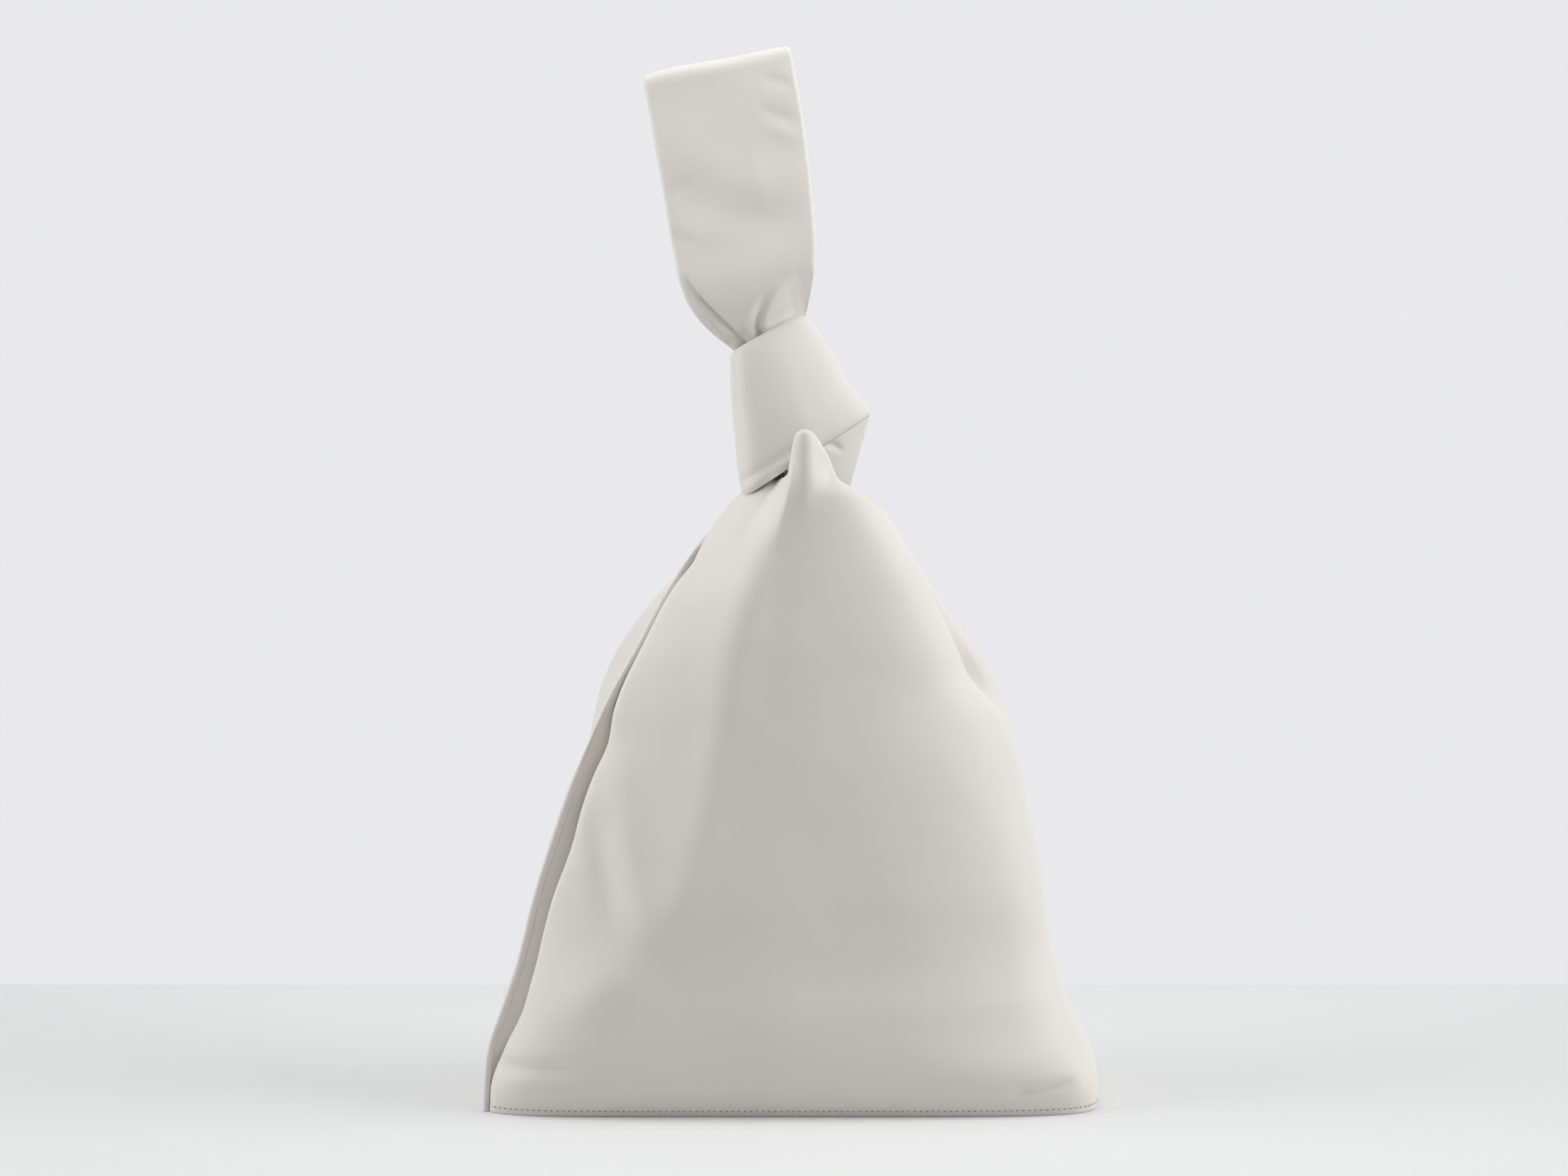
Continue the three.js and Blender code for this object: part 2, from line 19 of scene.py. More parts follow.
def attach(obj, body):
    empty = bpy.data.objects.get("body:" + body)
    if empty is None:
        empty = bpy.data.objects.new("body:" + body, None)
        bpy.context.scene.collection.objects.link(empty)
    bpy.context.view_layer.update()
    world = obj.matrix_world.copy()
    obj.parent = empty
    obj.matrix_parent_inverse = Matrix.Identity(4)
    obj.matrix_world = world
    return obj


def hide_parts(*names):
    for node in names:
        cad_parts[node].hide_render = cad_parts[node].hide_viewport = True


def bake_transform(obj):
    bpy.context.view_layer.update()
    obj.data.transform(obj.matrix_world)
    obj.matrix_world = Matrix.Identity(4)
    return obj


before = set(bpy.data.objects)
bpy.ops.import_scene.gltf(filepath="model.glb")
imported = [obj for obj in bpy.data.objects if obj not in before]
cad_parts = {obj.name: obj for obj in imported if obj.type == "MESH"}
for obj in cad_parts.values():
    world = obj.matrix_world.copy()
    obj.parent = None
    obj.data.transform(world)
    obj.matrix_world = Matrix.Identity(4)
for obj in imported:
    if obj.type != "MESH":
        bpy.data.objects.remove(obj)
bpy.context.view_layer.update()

LOG = logging.getLogger("knot_bag")
MM = 0.001
Curve = Callable[[Any], Any]
Pair = tuple[float, float]


class Face(Enum):
    """The two faces of the pouch; the value is the sign of the side of Y that it bulges to."""

    FRONT = -1
    REAR = 1


class Body(str, Enum):
    """The bodies of the frame that pieces ride on."""

    BAG = "bag"
    KNOT = "knot"
    HANDLE = "handle"


def smooth(points: Sequence[Pair]) -> Curve:
    """A smooth curve through a few points.

    Args:
        points: Pairs of place and value, in order of place.

    Returns:
        A function of place, level beyond the first and the last point.
    """
    places, values = np.array(points, float).T
    slopes = np.gradient(values, places)

    def value(place: Any) -> Any:
        """The curve's value.

        Args:
            place: One place, or an array of them.

        Returns:
            The value at each place.
        """
        at = np.clip(place, places[0], places[-1])
        i = np.clip(np.searchsorted(places, at, side="right") - 1, 0, len(places) - 2)
        span = places[i + 1] - places[i]
        p = (at - places[i]) / span
        ease = p * p * (3 - 2 * p)
        start = p * (1 - p) ** 2 * span * slopes[i]
        end = p * p * (p - 1) * span * slopes[i + 1]
        return values[i] + (values[i + 1] - values[i]) * ease + start + end

    return value


def straight(points: Sequence[Pair]) -> Curve:
    """A curve of straight runs through a few points, level beyond its ends."""
    places, values = np.array(points, float).T
    return lambda place: np.interp(place, places, values)


def step(value: Any, low: float, high: float) -> Any:
    """Rises smoothly from 0 at low to 1 at high."""
    p = np.clip((value - low) / (high - low), 0, 1)
    return p * p * (3 - 2 * p)


def fall(value: Any, low: float, high: float) -> Any:
    """Falls smoothly from 1 at low to 0 at high."""
    return step(-value, -high, -low)


def hump(value: Any, middle: Any, width: Any) -> Any:
    """A smooth hump of height 1 at its middle."""
    return np.exp(-(((value - middle) / width) ** 2))


def between(ends: Pair, share: Any) -> Any:
    """The value at a share of the way from the first end to the last."""
    return ends[0] + (ends[1] - ends[0]) * share


def bell(reach: int, pitch: float, radius: float) -> np.ndarray:
    """Weights of a running mean, which add up to 1, out to a number of places each way."""
    weights = hump(np.arange(-reach, reach + 1) * pitch, 0, radius)
    return weights / weights.sum()


@dataclass(frozen=True)
class Fold:
    """A crease or a ridge that runs along points seen from the front, as millimetres across and up.

    Attributes:
        run: The points it passes.
        depth: How far it stands out (positive) or sinks in (negative) at its strongest.
        width: Half its width.
        fade: The share of its run over which each end dies away.
    """

    run: tuple[Pair, ...]
    depth: float
    width: float
    fade: float = 0.35

    def relief(self, x: np.ndarray, z: np.ndarray) -> np.ndarray:
        """How far the fold lifts the points at x and z.

        Args:
            x: Places across, in millimetres.
            z: Heights, in millimetres.

        Returns:
            The lift at each point, in millimetres.
        """
        run = np.array(self.run, float)
        legs = np.diff(run, axis=0)
        lengths = np.hypot(legs[:, 0], legs[:, 1])
        starts = np.concatenate([[0.0], np.cumsum(lengths)])
        nearest = np.full(x.shape, np.inf)
        share = np.zeros(x.shape)
        for start, leg, length, gone in zip(run, legs, lengths, starts):
            t = np.clip(((x - start[0]) * leg[0] + (z - start[1]) * leg[1]) / length**2, 0, 1)
            away = np.hypot(x - start[0] - t * leg[0], z - start[1] - t * leg[1])
            closer = away < nearest
            nearest = np.where(closer, away, nearest)
            share = np.where(closer, (gone + t * length) / starts[-1], share)
        ends = step(share, 0, self.fade) * step(1 - share, 0, self.fade)
        return self.depth * hump(nearest, 0, self.width) * ends


def run_length(line: np.ndarray) -> float:
    """The length of a line of points."""
    return np.linalg.norm(np.diff(line, axis=0), axis=1).sum()


def resample(line: np.ndarray, shares: np.ndarray) -> np.ndarray:
    """Points at shares of the length of a line of points."""
    gone = np.concatenate([[0.0], np.cumsum(np.linalg.norm(np.diff(line, axis=0), axis=1))])
    return np.stack([np.interp(shares * gone[-1], gone, line[:, k]) for k in range(line.shape[1])], axis=1)


def rounded(line: np.ndarray, radius: float, pitch: float = 0.4, reach_radii: float = 2.5) -> np.ndarray:
    """Rounds the corners of a line of points and keeps its ends.

    Args:
        line: The points, as X and Y.
        radius: About the radius that a corner gets, in millimetres.
        pitch: The distance between the points that come back.
        reach_radii: How many radii each way a point is evened out over.

    Returns:
        The rounded line.
    """
    fewest = 8
    even = resample(line, np.linspace(0, 1, max(int(run_length(line) / pitch), fewest)))
    reach = max(int(reach_radii * radius / pitch), 1)
    weights = bell(reach, pitch, radius)
    head = 2 * even[0] - even[reach:0:-1]
    tail = 2 * even[-1] - even[-2 : -reach - 2 : -1]
    long = np.vstack([head, even, tail])
    return np.stack([np.convolve(long[:, k], weights, mode="valid") for k in range(2)], axis=1)


def grid_normals(points: np.ndarray) -> np.ndarray:
    """Unit normals of a grid of points.

    Args:
        points: Rows and columns of places.

    Returns:
        The normals, each along the way across crossed with the way up.
    """
    across = np.gradient(points, axis=1)
    up = np.gradient(points, axis=0)
    normal = np.cross(across, up)
    return normal / np.maximum(np.linalg.norm(normal, axis=2, keepdims=True), 1e-9)


def softness(points: np.ndarray, size: float, seed: float) -> np.ndarray:
    """The slow, slight unevenness of soft leather.

    Args:
        points: Rows and columns of places, in millimetres.
        size: The width of a swell, in millimetres.
        seed: Picks the pattern.

    Returns:
        The unevenness at each place, from -1 to 1.
    """
    flat = points.reshape(-1, 3) / size
    found = [noise.noise(Vector((x + seed, y - seed, z + 2 * seed))) for x, y, z in flat]
    return np.array(found).reshape(points.shape[:2])


def laid_grid(points: np.ndarray) -> bmesh.types.BMesh:
    """Lays a grid of faces over rows and columns of places.

    Args:
        points: The places, in millimetres.

    Returns:
        A new bmesh, in metres.
    """
    rows, columns = points.shape[:2]
    bm = bmesh.new()
    bmesh.ops.create_grid(bm, x_segments=columns - 1, y_segments=rows - 1, size=0.5)
    for vert in bm.verts:
        column = round((vert.co.x + 0.5) * (columns - 1))
        row = round((vert.co.y + 0.5) * (rows - 1))
        vert.co = Vector(points[row, column]) * MM
    return bm


def finished(name: str, bm: bmesh.types.BMesh) -> bpy.types.Object:
    """Makes an object of a bmesh and frees the bmesh.

    Args:
        name: The object's name.
        bm: The bmesh, in metres.

    Returns:
        The new object, shaded smooth.
    """
    mesh = bpy.data.meshes.new(name)
    bm.to_mesh(mesh)
    bm.free()
    mesh.polygons.foreach_set("use_smooth", [True] * len(mesh.polygons))
    obj = bpy.data.objects.new(name, mesh)
    bpy.context.scene.collection.objects.link(obj)
    return obj


def laid_sheet(name: str, points: np.ndarray, flip: bool = False) -> bpy.types.Object:
    """Lays a sheet over a grid of places.

    Args:
        name: The piece's name.
        points: Rows and columns of places, in millimetres.
        flip: Turns the faces round.

    Returns:
        The new object.
    """
    bm = laid_grid(points)
    if flip:
        bmesh.ops.reverse_faces(bm, faces=bm.faces)
    return finished(name, bm)


def laid_tube(name: str, points: np.ndarray, closed: bool = False) -> bpy.types.Object:
    """Lays a tube whose rows are rings of places.

    Args:
        name: The piece's name.
        points: Rings of places, in millimetres.
        closed: Joins the last ring to the first; otherwise the ends are capped.

    Returns:
        The new object.
    """
    points = np.concatenate([points, points[:, :1]], axis=1)
    if closed:
        points = np.concatenate([points, points[:1]], axis=0)
    bm = laid_grid(points)
    bmesh.ops.remove_doubles(bm, verts=bm.verts, dist=1e-7)
    if not closed:
        bmesh.ops.holes_fill(bm, edges=[edge for edge in bm.edges if edge.is_boundary], sides=0)
    bmesh.ops.recalc_face_normals(bm, faces=bm.faces)
    return finished(name, bm)


def thicken(obj: bpy.types.Object, thickness: float, turned: float = 0.0, corner: float = 62.0) -> None:
    """Gives a sheet its thickness, inwards from its laid face.

    Args:
        obj: The sheet.
        thickness: In millimetres.
        turned: How far its edges are rounded over, in millimetres; 0 leaves them cut.
        corner: Edges sharper than this angle, in degrees, are rounded.
    """
    wall = obj.modifiers.new("thickness", "SOLIDIFY")
    wall.thickness = thickness * MM
    wall.offset = -1
    wall.use_even_offset = False
    if turned:
        edge = obj.modifiers.new("turned_edge", "BEVEL")
        edge.affect = "EDGES"
        edge.width = turned * MM
        edge.segments = 3
        edge.profile = 0.5
        edge.material = -1
        edge.limit_method = "ANGLE"
        edge.angle_limit = math.radians(corner)


def linear(colour: str) -> tuple[float, float, float, float]:
    """Turns an sRGB hex colour into linear light.

    Args:
        colour: The colour, as a hash and six hex digits.

    Returns:
        Red, green, blue and alpha.
    """
    channels = [int(colour[i : i + 2], 16) / 255 for i in (1, 3, 5)]
    lit = [c / 12.92 if c <= 0.04045 else ((c + 0.055) / 1.055) ** 2.4 for c in channels]
    return (*lit, 1.0)


def bare_material(name: str) -> bpy.types.Material:
    """Makes a material with an empty node tree.

    Args:
        name: The material's name.

    Returns:
        The material.
    """
    material = bpy.data.materials.new(name)
    material.use_nodes = True
    material.node_tree.nodes.clear()
    return material


def add_node(
    tree: bpy.types.NodeTree, kind: str, links: dict[str, Any] | None = None, **settings: Any
) -> bpy.types.Node:
    """Adds a node, sets it up and links its inputs.

    Args:
        tree: The node tree.
        kind: The node's type name.
        links: Input names to sockets they are fed from, or to plain values.
        settings: The node's own properties.

    Returns:
        The node.
    """
    node = tree.nodes.new(kind)
    for key, value in settings.items():
        setattr(node, key, value)
    for name, source in (links or {}).items():
        socket = node.inputs[int(name)] if name.isdigit() else node.inputs[name]
        if isinstance(source, bpy.types.NodeSocket):
            tree.links.new(source, socket)
        else:
            socket.default_value = source
    return node


@dataclass(frozen=True)
class Leather:
    """Nappa: smooth chrome-tanned hide with a dyed, lightly pigmented face.

    It is soft and matt, with a low even gloss, a hair-fine grain and faint clouds where the hide takes dye
    differently.

    Attributes:
        name: The material's name.
        face: Colour of the hide.
        cloud: Colour of its paler clouds.
        roughness: How matt the face is.
        gloss_spread: How far the roughness strays either way over the pores.
        cloud_mm: Size of the clouds.
        grain_mm: Size of the grain's cells, drawn coarser than the real 0.5 mm so that it shows.
        grain_depth_mm: How deep the grain is cut.
        grain_strength: How much of the grain shows in the light.
        pore_cells: Size of the pores, in cells of the grain.
        ior: Refraction of the pigment's binder.
        specular: Level of its gloss.
        sheen: Level of its soft bloom at grazing angles.
    """

    name: str
    face: str
    cloud: str
    roughness: float = 0.5
    gloss_spread: float = 0.06
    cloud_mm: float = 60.0
    grain_mm: float = 1.5
    grain_depth_mm: float = 0.035
    grain_strength: float = 0.35
    pore_cells: float = 2.2
    ior: float = 1.46
    specular: float = 0.42
    sheen: float = 0.06

    def build(self) -> bpy.types.Material:
        """Makes the material.

        Returns:
            The material.
        """
        material = bare_material(self.name)
        tree = material.node_tree
        place = add_node(tree, "ShaderNodeTexCoord").outputs["Object"]
        clouds = add_node(
            tree, "ShaderNodeTexNoise", {"Vector": place, "Scale": 1000 / self.cloud_mm, "Detail": 3.0}
        )
        blend = add_node(
            tree,
            "ShaderNodeMix",
            {"0": clouds.outputs["Fac"], "6": linear(self.face), "7": linear(self.cloud)},
            data_type="RGBA",
        )
        cells = add_node(tree, "ShaderNodeTexVoronoi", {"Vector": place, "Scale": 1000 / self.grain_mm})
        pore_scale = 1000 / (self.pore_cells * self.grain_mm)
        pores = add_node(tree, "ShaderNodeTexNoise", {"Vector": place, "Scale": pore_scale, "Detail": 4.0})
        height = add_node(
            tree,
            "ShaderNodeMath",
            {"0": cells.outputs["Distance"], "1": pores.outputs["Fac"]},
            operation="ADD",
        )
        grain = add_node(
            tree,
            "ShaderNodeBump",
            {
                "Height": height.outputs[0],
                "Strength": self.grain_strength,
                "Distance": self.grain_depth_mm * MM,
            },
        )
        gloss = add_node(
            tree,
            "ShaderNodeMapRange",
            {
                "Value": pores.outputs["Fac"],
                "3": self.roughness - self.gloss_spread,
                "4": self.roughness + self.gloss_spread,
            },
        )
        shader = add_node(
            tree,
            "ShaderNodeBsdfPrincipled",
            {
                "Base Color": blend.outputs[2],
                "Roughness": gloss.outputs[0],
                "Normal": grain.outputs[0],
                "IOR": self.ior,
                "Specular IOR Level": self.specular,
                "Sheen Weight": self.sheen,
                "Sheen Roughness": 0.5,
            },
        )
        add_node(tree, "ShaderNodeOutputMaterial", {"Surface": shader.outputs[0]})
        return material


@dataclass(frozen=True)
class Cloth:
    """Suede cloth, felt or spun thread: fibres that scatter light, with hardly any gloss; also the painted
    shade in the needle holes.

    Attributes:
        name: The material's name.
        light: Colour of the raised fibres.
        dark: Colour between them.
        fibre_mm: Size of the fibre's clumps, because single fibres are too fine to show.
        roughness: How matt it is.
        nap_mm: How far the fibres stand up.
        nap_strength: How much of the nap shows in the light.
        specular: Level of its gloss.
        sheen: Level of the light that loose fibres catch at grazing angles.
    """

    name: str
    light: str
    dark: str
    fibre_mm: float
    roughness: float = 0.9
    nap_mm: float = 0.1
    nap_strength: float = 0.5
    specular: float = 0.2
    sheen: float = 0.3

    def build(self) -> bpy.types.Material:
        """Makes the material.

        Returns:
            The material.
        """
        material = bare_material(self.name)
        tree = material.node_tree
        place = add_node(tree, "ShaderNodeTexCoord").outputs["Object"]
        fibres = add_node(
            tree,
            "ShaderNodeTexNoise",
            {"Vector": place, "Scale": 1000 / self.fibre_mm, "Detail": 6.0, "Roughness": 0.7},
        )
        blend = add_node(
            tree,
            "ShaderNodeMix",
            {"0": fibres.outputs["Fac"], "6": linear(self.dark), "7": linear(self.light)},
            data_type="RGBA",
        )
        nap = add_node(
            tree,
            "ShaderNodeBump",
            {"Height": fibres.outputs["Fac"], "Strength": self.nap_strength, "Distance": self.nap_mm * MM},
        )
        shader = add_node(
            tree,
            "ShaderNodeBsdfPrincipled",
            {
                "Base Color": blend.outputs[2],
                "Normal": nap.outputs[0],
                "Roughness": self.roughness,
                "Specular IOR Level": self.specular,
                "Sheen Weight": self.sheen,
            },
        )
        add_node(tree, "ShaderNodeOutputMaterial", {"Surface": shader.outputs[0]})
        return material


class Finishes:
    """The bag's materials, each made once."""

    def __init__(self) -> None:
        """Makes the materials."""
        # Dyed hide: a soft matt white that warms a little, paler where the hide took less dye.
        self.nappa = Leather("nappa_leather", "#e0dcd5", "#e6e2dc").build()
        # Brushed cloth: a dull, darker inside whose nap hides its weave.
        self.suede = Cloth("suede_cloth", "#d3cbbf", "#b9b0a3", 0.5).build()
        # Spun thread, tone on tone: raised fibres a little paler than the hide, less matt than the cloths.
        self.thread = Cloth("sewing_thread", "#ece8e1", "#d5cfc5", 0.2, 0.7).build()
        # Painted shade in the needle holes: dark balls stand for the shadow inside each hole, so each reads
        # as a dark dot.
        self.hole = Cloth("painted_hole_shade", "#a09a8f", "#857e73", 0.2).build()
        # Pressed wool: even, fuzzy and matt.
        self.felt = Cloth("wool_felt", "#e6e2d9", "#cfc9bd", 1.0).build()


def dress(
    obj: bpy.types.Object, material: bpy.types.Material, slot: str, body: Body | None, *nodes: str
) -> None:
    """Gives a piece its finish and its place in the frame.

    Args:
        obj: The piece.
        material: What it is made of.
        slot: The slot for that; not used.
        body: The body it rides on, or None for a piece that rides on none.
        nodes: The nodes it stands for.
    """
    obj.data.materials.append(material)
    if nodes:
        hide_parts(*nodes)
    if body is not None:
        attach(obj, body.value)
    LOG.info("%s: %d faces", obj.name, len(obj.data.polygons))


@dataclass(frozen=True)
class Stitching:
    """A row of single stitches with a needle hole between each two, drawn as a small ball whose dark colour
    paints the shade inside the hole.

    Attributes:
        pitch: From one stitch to the next.
        length: The length of a stitch.
        width: The width of the thread.
        proud: How far a stitch lies out of the leather, as a share of its width.
        hole: The width of a needle hole's ball of painted shade.
        segments: Faces round a stitch and along it.
        batch: Stitches made in one small bmesh, because operators slow down as a bmesh grows.
    """

    pitch: float = 2.36
    length: float = 1.75
    width: float = 0.55
    proud: float = 0.3
    hole: float = 0.7
    segments: tuple[int, int] = (6, 4)
    batch: int = 12

    def add_ball(self, bm: bmesh.types.BMesh, spot: Matrix, radius: float, material: int) -> None:
        """Adds a ball with few faces, which its matrix may stretch.

        Args:
            bm: The bmesh to add it to.
            spot: Its place, turn and stretch.
            radius: Its radius before the stretch.
            material: The index of its material.
        """
        around, along = self.segments
        made = bmesh.ops.create_uvsphere(
            bm, u_segments=around, v_segments=along, radius=radius, matrix=spot
        )
        for face in {face for vert in made["verts"] for face in vert.link_faces}:
            face.material_index = material

    def sew(self, name: str, run: np.ndarray, out: np.ndarray, finishes: Finishes) -> None:
        """Sews a row of stitches.

        Args:
            name: The row's name, which is also its node's.
            run: Places along the seam, in millimetres.
            out: The way out of the leather at each place.
            finishes: The materials.
        """
        count = int(run_length(run) / self.pitch)
        shares = (np.arange(count) + 0.5) / count
        places, ways = resample(run, shares), out[(shares * (len(run) - 1)).astype(int)]
        # The way along a stitch is taken between two places close by, as shares of the run.
        near = 0.002
        ahead = resample(run, np.minimum(shares + near, 1)) - resample(run, shares - near)
        thread, hole = 0, 1
        half = 0.5 * MM * np.array([self.width, self.width, self.length])
        size = Matrix.Diagonal((*half, 1))
        bm = bmesh.new()
        for start in range(0, count, self.batch):
            part = bmesh.new()
            for place, way, along in list(zip(places, ways, ahead))[start : start + self.batch]:
                axis = Vector(along).normalized()
                side = axis.cross(Vector(way)).normalized()
                turn = Matrix((side, side.cross(axis), axis)).transposed().to_4x4()
                spot = Matrix.Translation((Vector(place) + axis * 0.5 * self.pitch) * MM) @ turn
                # A small dark ball between two stitches: painted shade inside the needle hole.
                self.add_ball(part, spot, 0.5 * MM * self.hole, hole)
                spot = Matrix.Translation(Vector(place + way * self.proud * self.width) * MM) @ turn
                self.add_ball(part, spot @ size, 1, thread)
            short = bpy.data.meshes.new(name)
            part.to_mesh(short)
            part.free()
            bm.from_mesh(short)
            bpy.data.meshes.remove(short)
        row = finished(f"{name}_stitches", bm)
        dress(row, finishes.thread, "thread", Body.BAG, name)
        row.data.materials.append(finishes.hole)


@dataclass
class Pouch:
    """The pouch: two leather faces joined at side seams, a base, linings and the stitches of its seams.

    The left seam shows from the front: a pale rim, a recess beside it, and the front puffed over the recess.
    Every curve is a function of height, unless its comment says otherwise.

    Attributes:
        leather: Thickness of the faces and of the base.
        felt: Thickness of the base's interlining.
        suede: Thickness of the linings and of the facings.
        under: How far the linings lie below the outside of the faces.
        layer: How far each face lies from the middle of the left seam.
        stitching: The stitches of all the seams.
        base_seam: Height of the base seam.
        base_seam_dip: How far the leather is drawn in along it, and half the width of that.
        side_seam_foot: The row of the mesh that the side seams start at.
        side_seam_top: Height at which they end.
        rim_columns: Columns among which the front turns back at its left.
        facing_foot: Height at which the linings end and the mouth's facings start.
        top: Height that the tables of sections reach.
        level_pitch: Height between two sections.
        hem_height: Height below which the rows of the mesh are closest.
        hem_pitch: Height between those rows.
        neck_height: Height above which the rows follow the edge of the mouth.
        front_mesh: Columns of the front, and its rows from the hem to the neck.
        rear_mesh: Columns of the rear, and its rows from the hem to the neck.
        neck_rows: Rows below the neck for each row above it.
        mouth_guess: Height from which the rounds that find the mouth's edge start.
        mouth_rounds: How many rounds there are.
        arc_points: Points on each half of a section.
        fine_columns: Shares of the columns at which the close ones beside the seams end and start again.
        fine_run: How much of a section those close columns cover at each end.
        fine_section: Sections shorter than this have less of it.
        recess_depth: How far the recess beside the left seam sinks behind its rim.
        recess_deepening: How much deeper it is higher up.
        recess_deepens: Heights over which it deepens.
        recess_foot: Heights over which it starts.
        recess_head: Heights over which it ends.
        tuck: How far the rim of the left seam is drawn in at the neck.
        tuck_rise: Heights over which it is drawn in.
        flap: How far the seam's allowance reaches in at the right.
        flap_loss: How much of that is lost at the neck.
        flap_rise: Heights over which it is lost.
        flare_from: The angle round a section's right half, in radians, at which the front turns out.
        crisp: Radius of a front section's corners at its seams.
        soft: Radius that evens out its middle.
        soft_from: How far from its ends that starts, and is whole.
        soft_head: Heights over which it turns crisp again.
        rear_round: Radius of a rear section's corners.
        rear_side: How far behind the right seam the rear's round ends.
        rear_inset: How far inside the right rim it stays low down.
        rear_inset_head: Heights over which that ends.
        groove: Depth of the groove behind the front's right edge, for each millimetre of the rear that shows
            there, and the most millimetres that count.
        peak: How far the peak before the knot stands out to the front.
        peak_at: X of its middle and half its width.
        peak_rise: Heights over which it starts to.
        lie_back: How far the front lies back right of the peak.
        lie_back_at: X over which it starts to.
        lie_back_rise: Heights over which it starts to.
        draw: The share of its depth by which the left shoulder is drawn in.
        draw_rise: Heights over which it is.
        notch: A further share, at the notch left of the peak.
        notch_at: X of the notch and half its width.
        notch_rise: Heights over which it starts.
        swell: Size and depth of the soft unevenness of the faces.
        ripple: Size and depth of the smaller unevenness on it.
        seeds: What picks the pattern of each.
        soft_foot: Heights over which the unevenness starts.
        mouth_turn: How far the last two rows turn in, which rounds the edge of the mouth.
        lining_margin: Columns that the linings leave at each side.
        lining_foot: The row of the mesh that the linings start at.
        lining_stride: Columns and rows of the faces for each of the linings.
        facing_stride: Rows of the faces for each of the facings.
        thread_margin: Columns that the base seam's stitches leave at each side.
        base_inset: How far the base stays inside the left and the right rim.
        base_level: Height of the sections that the base is cut to.
        base_slice: Half the width of the slice of a section that gives the base's edge.
        base_gap: Room between the base and the faces.
        base_mesh: Columns and rows of the base.
        layer_gap: Room between the layers of the base.
    """

    leather: float = 1.5
    felt: float = 1.2
    suede: float = 0.6
    under: float = 2.6
    layer: float = 1.05
    stitching: Stitching = Stitching()
    base_seam: float = 2.4
    base_seam_dip: Pair = (0.12, 0.7)
    side_seam_foot: int = 4
    side_seam_top: float = 222.0
    rim_columns: int = 20
    facing_foot: float = 200.0
    top: float = 278.0
    level_pitch: float = 2.0
    hem_height: float = 6.4
    hem_pitch: float = 0.8
    neck_height: float = 224.0
    front_mesh: tuple[int, int] = (190, 130)
    rear_mesh: tuple[int, int] = (130, 96)
    neck_rows: int = 5
    mouth_guess: float = 250.0
    mouth_rounds: int = 4
    arc_points: int = 70
    fine_columns: Pair = (0.17, 0.87)
    fine_run: float = 24.0
    fine_section: float = 240.0
    recess_depth: float = 0.7
    recess_deepening: float = 2.0
    recess_deepens: Pair = (85.0, 120.0)
    recess_foot: Pair = (28.0, 50.0)
    recess_head: Pair = (185.0, 212.0)
    tuck: float = 3.0
    tuck_rise: Pair = (220.0, 234.0)
    flap: float = 4.0
    flap_loss: float = 2.6
    flap_rise: Pair = (218.0, 236.0)
    flare_from: float = 0.8
    crisp: float = 2.2
    soft: float = 8.0
    soft_from: Pair = (16.0, 40.0)
    soft_head: Pair = (215.0, 240.0)
    rear_round: float = 0.9
    rear_side: float = 11.0
    rear_inset: float = 1.5
    rear_inset_head: Pair = (110.0, 140.0)
    groove: Pair = (0.7, 5.0)
    peak: float = 3.0
    peak_at: Pair = (7.0, 5.0)
    peak_rise: Pair = (232.0, 256.0)
    lie_back: float = 5.0
    lie_back_at: Pair = (9.5, 18.0)
    lie_back_rise: Pair = (243.0, 258.0)
    draw: float = 0.46
    draw_rise: Pair = (198.0, 254.0)
    notch: float = 0.22
    notch_at: Pair = (-1.5, 4.5)
    notch_rise: Pair = (238.0, 251.0)
    swell: Pair = (42.0, 0.9)
    ripple: Pair = (15.0, 0.18)
    seeds: Pair = (3.0, 7.0)
    soft_foot: Pair = (4.0, 30.0)
    mouth_turn: Pair = (0.12, 0.5)
    lining_margin: int = 26
    lining_foot: int = 9
    lining_stride: int = 3
    facing_stride: int = 2
    thread_margin: int = 8
    base_inset: Pair = (4.5, 3.0)
    base_level: float = 1.0
    base_slice: float = 0.7
    base_gap: float = 0.4
    base_mesh: tuple[int, int] = (80, 26)
    layer_gap: float = 0.2

    # X of the left rim and of the right rim, as the photograph shows them.
    left: Curve = smooth([
        (0, -120.2), (13, -119.8), (25, -118.4), (37, -114.3), (53, -108.9), (84, -101.1), (110, -92.8),
        (138, -82.8), (162, -72), (185, -59), (205.5, -47.7), (225, -34.8), (236.5, -25.2), (243, -18.8),
        (248, -13), (276, -8),
    ])
    right: Curve = smooth([
        (0, 124.6), (9, 125.2), (21, 123), (36, 115), (50, 109.6), (87, 101.4), (112, 97), (149, 91.8),
        (174.5, 82), (200, 64.2), (225, 47.8), (240.5, 38.7), (250, 33.5), (276, 30),
    ])
    # Y of the two seams, and of the front's right side before it meets its seam.
    left_seam: Curve = smooth([
        (0, -34), (30, -28), (60, -19.5), (120, -11), (180, -6.5), (226, -5), (245, -2), (276, 0),
    ])
    right_seam: Curve = smooth([(0, 6), (120, 6), (245, 4), (276, 4)])
    side: Curve = smooth([
        (0, -8), (40, -6), (80, -2), (105, 2), (125, 4.6), (148, 5.8), (162, 5.4), (172, 3.4), (180, 0.8),
        (190, -1.4), (202, -1.8), (245, -1), (276, 0),
    ])
